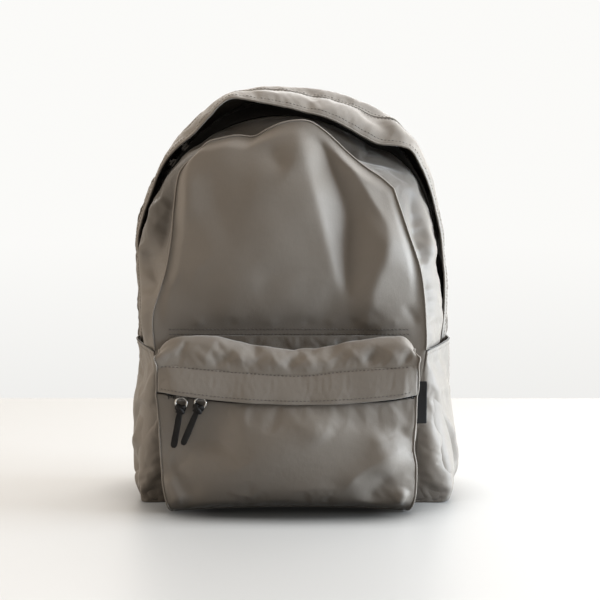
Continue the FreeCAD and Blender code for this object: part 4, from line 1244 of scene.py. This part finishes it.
def make_pocket_face():
    """The pocket's front: bellied, dented at the lower right, flatter where the pulls hang."""
    columns, rows = 104, 56
    foot_z = 0.9
    t, up = np.linspace(0, 1, columns), np.linspace(0, 1, rows)
    bow = np.sin(math.pi * t)
    low = line_at(-113 + 222 * t, -124.0 + 3.0 * t, foot_z + 4.6 * bow**0.8)
    high_x = -127.3 + 244.3 * t
    high_z = np.minimum(table_at(high_x, FLAP_EDGE) - 1.8, 112.5 + 3.0 * (1 - ease(high_x, -122, -113)))
    high_z = np.maximum(high_z, 107.0)
    high = line_at(high_x, -127.8 + 2.0 * t**8 - 2.4 * bow, high_z)
    left_z, right_z = (foot_z + (top_z - foot_z) * up for top_z in (high_z[0], high_z[-1]))
    left = line_at(pocket_edge(POCKET_LEFT, left_z), -124.0 - 3.6 * up, left_z)
    right = line_at(pocket_edge(POCKET_RIGHT, right_z), -121.0 - 4.8 * up, right_z)
    grid = coons(low, high, left, right)
    belly = 16.0 * bow**0.85 * np.sin(math.pi * np.clip(up * 0.93 + 0.035, 0, 1))[:, None] ** 0.7
    pulls_here = (1 - ease(grid[..., 0], -74, -42)) * ease(grid[..., 2], 48, 72)
    grid[..., 1] -= belly * (1 - 0.85 * pulls_here)
    grid = roll_under(grid, 9.0)
    grid = drape(grid, border(grid) | (pulls_here > 0.8), pressure=0.8, slack=0.006)
    grid = add_folds(grid, FROM_FRONT, FACE_FOLDS)
    inside = bow * np.sin(math.pi * up)[:, None]
    grid = rumple(grid, 70, 20, 0.6, inside * (1 - 0.8 * pulls_here))
    dress(sheet("pocket_face_cloth", grid, POCKET), "bag", "pocket_fabric", "pocket_face")
    return grid


def make_pocket_top():
    """From the zip up under the flap, over the crumpled roll and back to the seam on the bag."""
    columns, rows = 110, 44
    t = np.linspace(0, 1, columns)
    front_x = -127.5 + 247.5 * t
    roll_x = -130.5 + 252 * t
    crest_x = -126 + 243 * t
    stitch, crest, crest_z = (
        table_at(x, line) for x, line in ((front_x, STITCH_LINE), (front_x, CREST), (crest_x, CREST))
    )
    sections = [
        (front_x, -128.0, 118.8), (front_x, -130.5, stitch - 7), (front_x, -131.4, stitch),
        (roll_x, -130.8, 0.55 * stitch + 0.45 * crest), (crest_x, -124.5, crest_z - 4.5),
        (crest_x, -114.0, crest_z), (crest_x * 0.985, -103.0, crest_z - 6.0),
        (crest_x * 0.97, -90.0, 147.0), (crest_x * 0.96, -77.0, 150.0), (crest_x * 0.955, -71.3, 165.2),
    ]  # fmt: skip
    grid = loft([line_at(*section) for section in sections], rows)
    from_end = np.minimum(t, 1 - t) * 247
    grid[..., 2] -= 3.0 * np.exp(-((from_end / 7.0) ** 2))[None, :] * ease(grid[..., 1], -126, -108)
    sewn = (grid[..., 1] < -120) & (abs(grid[..., 2] - stitch[None, :]) < 2.5)
    grid = drape(grid, border(grid) | sewn, pressure=0.6, slack=0.014)
    for x, z, slant, high, wide in ROLL_WRINKLES:
        path = [(x - slant, z - 9), (x, z - 1), (x + slant, z + 7)]
        grid = fold(grid, FROM_FRONT, path, wide, high, 0.5, 1.2)
    for x, slant, high in SHELF_WRINKLES:
        grid = fold(grid, FROM_ABOVE, [(x, -112), (x + slant, -96), (x, -78)], 6, high, 0.4)
    grid = rumple(grid, 26, 21, 0.5)
    dress(sheet("pocket_top_cloth", grid, POCKET_TOP), "bag", "pocket_fabric", "pocket_top_panel")
    return grid


def make_pocket_flap():
    """The flap over the pocket's zip: sewn along its top, free along its lower edge."""
    columns, rows = 104, 12
    seam_y = -130.8
    x = np.linspace(FLAP_LEFT, FLAP_RIGHT, columns)
    top, free = table_at(x, STITCH_LINE), table_at(x, FLAP_EDGE)
    sections = [
        (top, -130.9), (top - 3.0, -132.4), (0.6 * top + 0.4 * free, -135.0),
        (0.25 * top + 0.75 * free, -137.2), (free, -137.8),
    ]  # fmt: skip
    grid = loft([line_at(x, y, z) for z, y in sections], rows)
    down = np.linspace(0, 1, rows)[:, None]
    ends = 1 - np.exp(-((np.minimum(x - FLAP_LEFT, FLAP_RIGHT - x) / 9.0) ** 2))
    grid[..., 1] = seam_y + (grid[..., 1] - seam_y) * (0.3 + 0.7 * ends)[None, :]
    grid[..., 1] -= (1.8 * np.sin(math.pi * (x - FLAP_LEFT) / (FLAP_RIGHT - FLAP_LEFT)))[None, :] * down
    grid = drape(grid, border(grid, 1, "lrt"), pressure=0.15, slack=0.008, hold=0.25)
    grid[..., 1] -= smooth_noise(grid * [1, 1, 0.4], 42, 22) * down * 0.8
    grid = grid[::-1]
    flap = sheet("pocket_flap_cloth", grid, POCKET, 1.8)
    lines = []
    for row in (1.4, rows - 1.7):
        points, ups = row_line(grid, row, 0.01, 0.99)
        lines.append(stitches("flap_stitch", points, ups, SHADED_THREAD, 2.2, 1.5, 0.36, 0.2))
    threads = join("pocket_flap_stitches", lines)
    hinge = ((0, -132, 136.5), (0, -133, 130.5))
    bend_between(flap, "pocket_zip_flap", *hinge, "pocket_fabric", "pocket_zip_flap")
    bend_between(threads, "pocket_zip_flap", *hinge, "pocket_fabric")


def make_pocket_zip():
    """The pocket's zip: two tapes with the closed coil between them, and open ends at the left."""
    columns = 90
    x = np.linspace(-117.5, 116.5, columns)
    tapes = {
        "lower": [(-124.2, 103.5), (-125.2, 107.5), (-127.4, 111.6)],
        "upper": [(-128.0, 112.6), (-128.2, 116.5), (-127.8, 121.0)],
    }
    for name, sections in tapes.items():
        grid = loft([line_at(x, y, z) for y, z in sections], 6)
        tape = sheet(f"pocket_zip_{name}_tape_cloth", grid, TAPE, 0.7)
        dress(tape, "bag", "zip_tape", f"pocket_zip_{name}_tape")
    outwards, upwards = np.zeros((2, columns, 3))
    outwards[:, 1] = -1
    upwards[:, 2] = 1
    coil_teeth("pocket_zip_coil", line_at(x, -128.2, 112.0), outwards, upwards)


def make_pocket_side(name, side, face_edge, top_edge):
    """One side of the pocket, from its front edge to the bag, and the welt down that edge."""
    high, deep = 60, 26
    turned = top_edge[:, 1] > SHELF_Y
    upper = top_edge[~turned]
    front = resample(np.vstack([face_edge, upper]), high)
    crown = resample(np.vstack([upper[-1:], top_edge[turned]]), deep)
    rear_x = np.linspace(front[0, 0] * 0.985, crown[-1, 0], high)
    rear = line_at(rear_x, POCKET_BACK_Y, np.linspace(3.5, crown[-1, 2], high))
    grid = coons(np.linspace(front[0], rear[0], deep), crown, front, rear)
    u, v = arc(deep)[None, :], arc(high)[:, None]
    grid[..., 0] += side * 4.0 * u**0.8 * v**0.6
    grid[..., 0] += side * 1.2 * smooth_noise(grid, 34, 23) * u * v
    if side < 0:
        grid = grid[:, ::-1]
    piece = sheet(f"{name}_pocket_side_cloth", grid, POCKET)
    dress(piece, "bag", "pocket_fabric", f"{name}_pocket_gusset")
    welt = tube(f"{name}_pocket_welt", front + [side * 0.1, -0.2, 0], 0.9, POCKET, sides=7)
    dress(welt, "bag", "pocket_fabric")


def make_pocket_floor(face_foot):
    """The pocket's floor, from the foot of its face to the bag."""
    front = resample(face_foot, 60)
    back = line_at(front[:, 0] * 0.985, POCKET_BACK_Y, 3.2)
    grid = loft([back, 0.5 * (front + back) - [0, 0, 1.2], front], 20)
    dress(sheet("pocket_floor_cloth", grid, BASE, 1.0, flip=True), "bag", "base_fabric", "pocket_floor")


def make_pocket():
    face, top = make_pocket_face(), make_pocket_top()
    make_pocket_flap()
    make_pocket_zip()
    make_pocket_side("left", -1, face[:, 0], top[:, 0])
    make_pocket_side("right", 1, face[:, -1], top[:, -1])
    make_pocket_floor(face[0])


def make_label():
    """A small dark woven label folded into the pocket's right-hand seam. It is left blank."""
    low, high = (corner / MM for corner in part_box("woven_label"))
    inner, outer = 115.5, high.x - 2.8
    x, z = np.meshgrid(np.linspace(inner, outer, 9), np.linspace(low.z, high.z, 20))
    bend = ((x - inner) / (outer - inner)) ** 2
    grid = line_at(x, -111.6 + 0.8 * bend * np.sin(z / 11) - 0.5 * bend, z)
    dress(sheet("woven_label_cloth", grid, LABEL, 0.8), "bag", "label", "woven_label")


# ---------------------------------------------------------------- sliders, rings and pulls

LOOP_Z = -5.3  # the middle of a pull's loop, below the ring it hangs from
TONGUE_TOP_Z = -8.2
TONGUE_LONG = 34.5
TONGUE_TIP = 2.8
MAIN_RING_RADIUS = 151.3  # from the arch's centre to the main rings
MAIN_ZIP_Y = 14


def keep_cad(names, material, bevel_mm):
    """Gives rigid CAD nodes softened edges and their finish."""
    for name in names:
        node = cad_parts[name]
        node.data.materials.clear()
        node.data.materials.append(material)
        node.data.polygons.foreach_set("use_smooth", [True] * len(node.data.polygons))
        bevel = add_modifier(node, "BEVEL", width=bevel_mm * MM, segments=2, harden_normals=True)
        bevel.limit_method = "ANGLE"
        bevel.angle_limit = math.radians(35)


def pull_tongue(bend, seed):
    """The flat leather tongue below a pull's knot, with a rounded tip."""
    rows, columns = 26, 9
    grid = np.zeros((rows, columns, 3))
    for row, t in enumerate(np.linspace(0, 1, rows)):
        half = 2.2 + 0.75 * float(ease(t, 0, 0.3)) + 0.12 * math.sin(9 * t + seed)
        tip = (t * TONGUE_LONG - (TONGUE_LONG - TONGUE_TIP)) / TONGUE_TIP
        if tip > 0:
            half *= math.sqrt(max(1 - tip * tip, 0.02))
        x = np.linspace(-half, half, columns)
        crown = 0.25 * (1 - (x / half) ** 2)
        y = bend * t * t - crown + 0.3 * math.sin(5 * t + seed)
        grid[row] = line_at(x, y, TONGUE_TOP_Z - t * TONGUE_LONG)
    return sheet("tongue", grid, LEATHER, 1.8)


def pull_parts(bend, seed):
    """A leather pull hung from the origin along -Z, as it was tied: loop, knot and bent tongue."""
    turn = np.linspace(0, math.pi, 13)
    round_part = line_at(0, -1.75 * np.cos(turn), LOOP_Z + 1.75 * np.sin(turn))
    loop = np.vstack([[(0, -1.4, -8.0)], round_part, [(0, 1.4, -8.0)]])
    around = np.linspace(0, 2 * math.pi, 17)[:-1]
    squash = 1 - 0.12 * np.cos(2 * around)
    knot = line_at(4.0 * np.cos(around) * squash, 1.6 * np.sin(around), -4.4 - 1.4 * np.sin(2 * around))
    cross = [(-3.8, -0.8, -2.4), (-1.7, -2.1, -4.4), (1.8, -2.1, -7.0), (3.6, -0.8, -8.8)]
    heart = [(-3.3, 0, -7.2), (0, 0.1, -8.2), (3.2, 0, -6.8)]
    return [
        ribbon("loop", loop, (1, 0, 0), 4.6, 1.3, LEATHER, 1),
        tube("knot_turn", knot, 2.1, LEATHER, sides=12, closed=True),
        tube("knot_cross", spline(cross, 16), 1.9, LEATHER, sides=12),
        tube("knot_heart", spline(heart, 10), 2.5, LEATHER, sides=12),
        pull_tongue(bend, seed),
    ]


def make_pull(name, centre, turn, lean, dip, bend, seed):
    """Puts a pull on its ring. turn carries the slider's frame into the bag's."""
    piece = join(f"{name}_leather", pull_parts(bend, seed))
    lean_turn = Matrix.Rotation(math.radians(lean), 4, "Y")
    dip_turn = Matrix.Rotation(math.radians(dip), 4, "X")
    loop_centre = Vector((0, 0, LOOP_Z)) * MM
    slip = lean_turn @ (loop_centre - dip_turn @ loop_centre)
    place = Matrix.Translation(Vector(centre) * MM) @ turn @ Matrix.Translation(slip)
    piece.data.transform(place @ lean_turn @ dip_turn)
    dress(piece, name, "pull_leather", name)


def main_turn(around, ring_towards):
    """The frame of a main slider: its -Z runs towards its ring and its -Y points out of the arch."""
    inwards = Vector((-math.cos(around), 0, -math.sin(around)))
    up = Vector((0, -ring_towards, 0))
    return Matrix((inwards.cross(up), inwards, up)).transposed().to_4x4()


def make_hardware():
    """The four sliders and rings, which are the frame's own, and the four leather pulls."""
    ends = [(zip_name, side) for zip_name in ("pocket", "main") for side in ("left", "right")]
    keep_cad([f"{zip_name}_slider_{side}" for zip_name, side in ends], SLIDER_METAL, 0.3)
    keep_cad([f"{zip_name}_ring_{side}" for zip_name, side in ends], RING_METAL, 0.1)
    for side, lean, bend, seed in (("left", 10, -2.6, 0.4), ("right", 23, -3.4, 2.1)):
        low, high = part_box(f"pocket_ring_{side}")
        centre = (low + high) / 2 / MM
        make_pull(f"pocket_pull_{side}", centre, Matrix.Identity(4), lean, 0, bend, seed)
    for side, angle, ring_towards in (("left", 146, 1), ("right", 138, -1)):
        around = math.radians(angle)
        x, z = MAIN_RING_RADIUS * math.cos(around), ARCH_Z + MAIN_RING_RADIUS * math.sin(around)
        centre = (x, MAIN_ZIP_Y - LOOP_Z * ring_towards, z)
        make_pull(f"main_pull_{side}", centre, main_turn(around, ring_towards), 85, 9, 1.2, 1.0)


# ---------------------------------------------------------------- shoulder straps and handle

WEBBING_WIDE = 24
WEBBING_THICK = 1.5
# Paths of webbing through the ladder lock, in the lock's own frame.
LOCK_LOOP = [
    (0, -2.9, 25), (0, -2.9, 18), (0, -2.9, 11.9), (0, -2.0, 9.8), (0, 0, 9.0), (0, 2.0, 9.8), (0, 2.9, 11.9),
    (0, 2.9, 18), (0, 2.6, 25),
]  # fmt: skip
STRAP_TAIL = [
    (0, -3.1, -7), (0, -3.1, 1.1), (0, -2.1, 3.4), (0, 0, 4.2), (0, 2.1, 3.4), (0, 3.1, 1.1), (0, 3.3, -10),
    (0, 4.6, -30), (0, 4.0, -46), (0, 2.6, -58),
]  # fmt: skip
TAB_WEBBING = [(126.6, 73.3, 6), (124.6, 73.3, 12), (122.4, 74.0, 19)]  # where it leaves the corner tab
# The side section of the strap's folded top, as (y, z).
STRAP_TOP = [
    (72.9, 350.0), (72.9, 358.0), (73.0, 366.0), (74.0, 371.5), (76.4, 373.4), (79.0, 371.0), (80.2, 366.0),
    (80.0, 358.0), (79.6, 348.0),
]  # fmt: skip


def strap_at(t, side):
    """The strap's centre line: x, the y of its inner face, z and half its width, t from low to top."""
    bow = 4 * t * (1 - t)
    return side * (88 - 46 * t + 15.4 * bow), 81 - 8 * t + 16.8 * bow, 112 + 250 * t, 23 + 8 * t


def strap_sections(side, rows, columns, outer):
    """One face of the padded strap, as a grid from its low end to its top."""
    grid = np.zeros((rows, columns, 3))
    across = np.linspace(-1, 1, columns)
    ts = np.linspace(0, 1, rows)
    along = np.gradient(np.array([strap_at(t, side)[:3] for t in ts]), axis=0)
    along /= np.linalg.norm(along, axis=1, keepdims=True)
    for row, t in enumerate(ts):
        x, y, z, half = strap_at(t, side)
        width = np.cross([0.0, 1.0, 0.0], along[row])
        width /= np.linalg.norm(width)
        out = np.cross(along[row], width)
        end = min(1.0, 0.35 + 0.65 * float(ease(t, -0.01, 0.07)))
        half = half - 1.2 - 4.0 * (1 - float(ease(t, -0.01, 0.05)))
        swell = (1 - abs(across) ** 4.5) * end
        depth = 0.7 + (4.2 * swell if outer else -4.2 * swell - 1.4)
        grid[row] = np.array([x, y + 5.0, z]) + across[:, None] * half * width + depth[:, None] * out
    return grid


def make_strap(name, side):
    """A padded shoulder strap: outer cloth, mesh inside, bound edges and a folded top."""
    rows, columns = 90, 26
    body = f"{name}_strap"
    outer, inner = (strap_sections(side, rows, columns, is_outer) for is_outer in (True, False))
    padded = (1 - abs(np.linspace(-1, 1, columns)) ** 3)[None, :]
    outer, inner = rumple(outer, 26, 31, 0.5, padded), rumple(inner, 26, 32, -0.5, padded)
    facing = 1 if grid_normals(outer)[rows // 2, columns // 2, 1] > 0 else -1
    cover = sheet(f"{name}_strap_cover_cloth", outer[:, ::facing], SHELL)
    dress(cover, body, "strap_cover", f"{name}_strap_cover", f"{name}_strap_foam")
    lining = sheet(f"{name}_strap_mesh_cloth", inner[:, ::-facing], MESH)
    dress(lining, body, "mesh", f"{name}_strap_mesh")
    rims = [np.vstack([grid[::-1, 0], grid[0], grid[:, -1]]) for grid in (outer, inner)]
    edge = resample((rims[0] + rims[1]) / 2, 220)
    dress(tube(f"{name}_strap_edge_binding", edge, 2.0, BINDING, sides=10), body, "binding")
    lines = []
    for column in (3, columns - 4):
        down_strap = row_line(outer.transpose(1, 0, 2), column, 0.04, 0.99)
        points, ups = (resample(line, 200) for line in down_strap)
        lines.append(stitches("strap_stitch", points, ups * facing, THREAD))
    dress(join(f"{name}_strap_stitches", lines), body, "strap_cover")
    make_strap_top(name, side)
    make_strap_fittings(name, side)
    make_tab(name, side)


def make_strap_top(name, side):
    """The flat top of the strap, folded over from the yoke into the padding's end."""
    rows, columns = 26, 22
    centre = side * 42.0
    across = np.linspace(-29.8, 29.8, columns)
    path = spline(STRAP_TOP, rows)
    wave = 0.35 * np.sin(across / 7.0 + 1)[None, :] * arc(rows)[:, None]
    grid = line_at(centre + across[None, :], path[:, :1] + wave, path[:, 1:])
    piece = sheet(f"{name}_strap_top_cloth", grid[:, ::-1], SHELL, 1.4, flip=True)
    bend_between(piece, f"{name}_strap", (centre, 74.2, 366), (centre, 78.6, 366), "strap_cover")


def lock_frame(side):
    """The ladder lock's own frame: a way to place points in it, and its x direction."""
    base = Vector((94.0, 86.0, 86.0))
    turn = Matrix.Rotation(math.radians(-21.6), 3, "Y") @ Matrix.Rotation(math.radians(-6), 3, "X")
    flip = Matrix.Diagonal((side, 1, 1))

    def place(*point):
        return flip @ (base + turn @ Vector(point))

    return place, flip @ (turn @ Vector((1, 0, 0)))


def make_strap_fittings(name, side):
    """The ladder lock, its loop, the webbing from the corner tab, and the webbing's loose tail."""
    body = f"{name}_strap"
    keep_cad([f"{name}_ladder_lock"], BUCKLE, 0.5)
    place, across = lock_frame(side)

    def webbing(piece_name, points, count):
        path = spline(points, count)
        return ribbon(f"{name}_{piece_name}", path, across, WEBBING_WIDE, WEBBING_THICK, WEBBING, 1)

    loop = webbing("lock_loop_webbing", [place(*point) for point in LOCK_LOOP], 30)
    dress(loop, body, "webbing", f"{name}_lock_loop")
    tail = webbing("strap_tail_webbing", [place(*point) for point in STRAP_TAIL], 60)
    dress(tail, body, "webbing", f"{name}_strap_webbing")
    from_tab = [Vector((side * x, y, z)) for x, y, z in TAB_WEBBING]
    to_lock = [place(0, -3.9, -54), place(0, -4.4, -30), place(0, -3.1, -6)]
    piece = webbing("lower_webbing", from_tab + to_lock, 60)
    bend_between(piece, body, (side * 121, 74.5, 26), place(0, -3.6, -22), "webbing")


def make_tab(name, side):
    """The folded cloth tab in the bag's lower corner that holds the webbing."""
    u, v = np.linspace(0, 1, 14)[None, :], np.linspace(0, 1, 20)[:, None]
    x = (1 - v) * ((1 - u) * 113.0 + u * 138.0) + v * ((1 - u) * 115.0 + u * 139.0)
    z = (1 - v) * ((1 - u) * 16.0 + u * 4.0) + v * ((1 - u) * 36.0 + u * 48.0)
    grid = line_at(side * x, 71.9 + 0.8 * np.sin(math.pi * u) * np.sin(math.pi * v), z)
    piece = sheet(f"{name}_strap_tab_cloth", grid[:, ::-side], SHELL, 1.6)
    dress(piece, "bag", "shell_fabric", f"{name}_strap_tab")


def box_stitch(name, x, z, half_wide, half_high, y):
    """A sewn square with a cross in it, on the back of the bag."""
    corners = [(-1, -1), (1, -1), (1, 1), (-1, 1), (-1, -1), (1, 1), (1, -1), (-1, 1)]
    spots = [np.array([x + a * half_wide, y, z + b * half_high]) for a, b in corners]
    rows = []
    for start, end in zip(spots, spots[1:]):
        rows.append(stitches(name, np.linspace(start, end, 20), OUT_OF_BACK, THREAD, long=2.0, gap=1.0))
    return rows


def make_yoke():
    """The yoke that the straps and the handle are sewn to."""
    columns, rows = 60, 14
    x, z = np.meshgrid(np.linspace(-78, 78, columns), np.linspace(345, 372.5, rows))
    y = 71.2 + 0.6 * arc(rows)[:, None] + 0.25 * smooth_noise(line_at(x, 0, z), 25, 40)
    grid = line_at(x, y, z)[:, ::-1]
    dress(sheet("strap_yoke_cloth", grid, SHELL, 1.5), "bag", "shell_fabric", "strap_yoke")
    lines = []
    for height in (347.5, 370.0):
        path = line_at(np.linspace(-76, 76, 80), 72.0, height)
        lines.append(stitches("yoke", path, OUT_OF_BACK, THREAD))
    for side in (-1, 1):
        lines += box_stitch("yoke_box", side * 54.5, 366, 3.6, 6, 74.3)
    dress(join("yoke_stitches", lines), "bag", "shell_fabric")


def make_handle():
    """The grab handle: a webbing loop whose feet lie flat on the yoke and turn out from the bag."""
    tilt = math.radians(20)
    out = Vector((0, math.cos(tilt), -math.sin(tilt)))
    wide = Vector((0, math.sin(tilt), math.cos(tilt)))
    hinge = Vector((0, 80, 381))
    half, reach, corner = 41.0, 33.0, 24.0
    foot = [(-60, 73.3, 364), (-52, 73.3, 367.5), (-46, 73.9, 371.5), (-42.5, 75.6, 375.5)]
    points = [Vector(spot) for spot in foot]
    shares = [number / len(foot) for number in range(len(foot))]
    across = [Vector((-0.35 * (1 - share), 0.34 * share, 1)).normalized() for share in shares]
    side = hinge + Vector((-half, 0, 0))
    points.append(side)
    for angle in (0, 30, 60, 90):
        turn = math.radians(angle)
        inwards = Vector((corner * (1 - math.cos(turn)), 0, 0))
        points.append(side + inwards + out * (reach - corner + corner * math.sin(turn)))
    across += [wide] * 5
    half_line = np.hstack([np.array(points), np.array(across)])
    other_half = half_line[::-1] * [-1, 1, 1, -1, 1, 1]
    smooth = spline(np.vstack([half_line, other_half]), 120)
    piece = ribbon("grab_handle_webbing", smooth[:, :3], smooth[:, 3:], 18, 2.2, WEBBING, 1)
    bend_between(piece, "grab_handle", (0, 75.0, 375), (0, 80.5, 381.5), "webbing", "grab_handle")


# ---------------------------------------------------------------- surroundings, light and camera

# The surroundings' sizes and places are in metres.
TABLE_HALF = 4
TABLE_REAR_Y = 0.72
TABLE_TOP_Z = -0.0004
WARM = (1.0, 0.99, 0.97)


def contact_shade(nodes):
    """How much the bag shades the table round its foot: most in front of the pocket."""
    closed = nodes.math("SUBTRACT", 1.0, nodes.ramp(nodes.open_share(0.07, 8), 0.5, 1.0))
    place = nodes.split(nodes.solid)
    beside = nodes.ramp(nodes.math("ABSOLUTE", place[0]), 0.16, 0.07)
    before_pocket = nodes.times(beside, nodes.ramp(place[1], -0.04, -0.09))
    return nodes.times(closed, nodes.plus(nodes.times(before_pocket, 0.6), 0.35))


def table_material():
    """A pale, slightly glossy table top, with a painted shadow where the bag stands on it."""
    nodes = new_nodes("table")
    patches = nodes.noise(nodes.solid, 1.2, 2)
    tone = nodes.mix(patches, (0.475, 0.485, 0.49, 1), (0.50, 0.51, 0.515, 1))
    # Painted shadow round the bag's foot, deepest in front of the pocket; the glow is dimmed there too.
    shade = contact_shade(nodes)
    tone = nodes.mix(shade, tone, (0.03, 0.03, 0.028, 1))
    speckle = nodes.bump(nodes.noise(nodes.solid, 300, 2), 0.05, 0.3)
    glow = nodes.times(nodes.add("LightPath").outputs["Is Camera Ray"], 0.13)
    glow = nodes.times(glow, nodes.math("SUBTRACT", 1.0, shade))
    return nodes.finish(
        Base_Color=tone, Roughness=0.38, Normal=speckle, Specular_IOR_Level=0.4,
        Emission_Color=(1.0, 0.99, 0.965, 1), Emission_Strength=glow,
    )  # fmt: skip


def make_table():
    """The table top, and the edge that closes it at the back."""
    wide, rear, edge = TABLE_HALF, TABLE_REAR_Y, 0.05
    top = [(-wide, -wide, 0), (wide, -wide, 0), (wide, rear, 0), (-wide, rear, 0)]
    mesh = bpy.data.meshes.new("table")
    mesh.from_pydata([*top, (-wide, rear, -edge), (wide, rear, -edge)], [], [(0, 1, 2, 3), (3, 2, 5, 4)])
    table = bpy.data.objects.new("table", mesh)
    table.location.z = TABLE_TOP_Z
    mesh.materials.append(table_material())
    SCENE.collection.objects.link(table)


def make_room():
    """Soft light that is strongest from the right, and a plain pale backdrop for the camera."""
    SCENE.world = bpy.data.worlds.new("room")
    nodes = Nodes(SCENE.world)
    to_window = nodes.dot(nodes.sky, (0.55, 0.55, 0.63))
    strength = nodes.ramp(to_window, -0.7, 1.0, 0.08, 0.75, "LINEAR")
    light = nodes.add("Background", {"Color": (1.0, 0.86, 0.71, 1), "Strength": strength})
    brightness = nodes.ramp(nodes.split(nodes.sky)["Z"], -0.14, -0.04, 0.86, 0.965, "LINEAR")
    backdrop = nodes.add("Background", {"Color": (1.0, 0.995, 0.975, 1), "Strength": brightness})
    seen = nodes.add("LightPath").outputs["Is Camera Ray"]
    shown = nodes.add("MixShader", {0: seen, 1: light.outputs[0], 2: backdrop.outputs[0]})
    nodes.put(shown.outputs[0], nodes.tree.nodes["World Output"].inputs[0])


def add_light(name, place, target, size, power, tint):
    light = bpy.data.lights.new(name, "AREA")
    light.shape = "RECTANGLE"
    light.size, light.size_y = size
    light.energy = power
    light.color = tint
    lamp = bpy.data.objects.new(name, light)
    lamp.location = place
    lamp.rotation_euler = (Vector(target) - Vector(place)).to_track_quat("-Z", "Y").to_euler()
    SCENE.collection.objects.link(lamp)


def make_lights():
    add_light("window", (1.6, -0.14, 0.42), (0, -0.02, 0.22), (0.95, 0.8), 66, (0.80, 0.90, 1.0))
    add_light("left_fill", (-1.8, -0.35, 0.6), (0, 0, 0.2), (1.6, 1.4), 16.0, (1.0, 0.89, 0.77))
    add_light("ceiling", (0.35, 0.45, 1.6), (0, 0, 0.35), (1.2, 0.9), 10.0, WARM)
    add_light("bright_wall", (0.2, 1.6, 1.35), (0, 0, 0.25), (2.6, 1.1), 30.0, WARM)


def make_camera():
    data = bpy.data.cameras.new("camera")
    data.sensor_width = 36
    data.lens = 102.6
    camera = bpy.data.objects.new("camera", data)
    camera.location = (0.008, -1.735, 0.321)
    camera.rotation_euler = (math.radians(90 - 4.17), 0, 0)
    SCENE.collection.objects.link(camera)
    SCENE.camera = camera


# ---------------------------------------------------------------- the whole daypack


def main():
    make_front_panel()
    make_front_gusset()
    make_main_zip()
    make_hood()
    make_rear_gusset()
    make_back_panel()
    make_base()
    make_sleeve()
    make_side("left", -1, LEFT_SIDE, LEFT_POCKET_FOLDS)
    make_side("right", 1, RIGHT_SIDE, RIGHT_POCKET_FOLDS)
    make_pocket()
    make_label()
    make_hardware()
    keep_cad(["back_foam"], FOAM, 0.8)
    keep_cad(["base_board"], BOARD, 0.8)
    make_yoke()
    make_strap("left", -1)
    make_strap("right", 1)
    make_handle()
    make_table()
    make_room()
    make_lights()
    make_camera()
    SCENE.view_settings.view_transform = "Standard"


main()
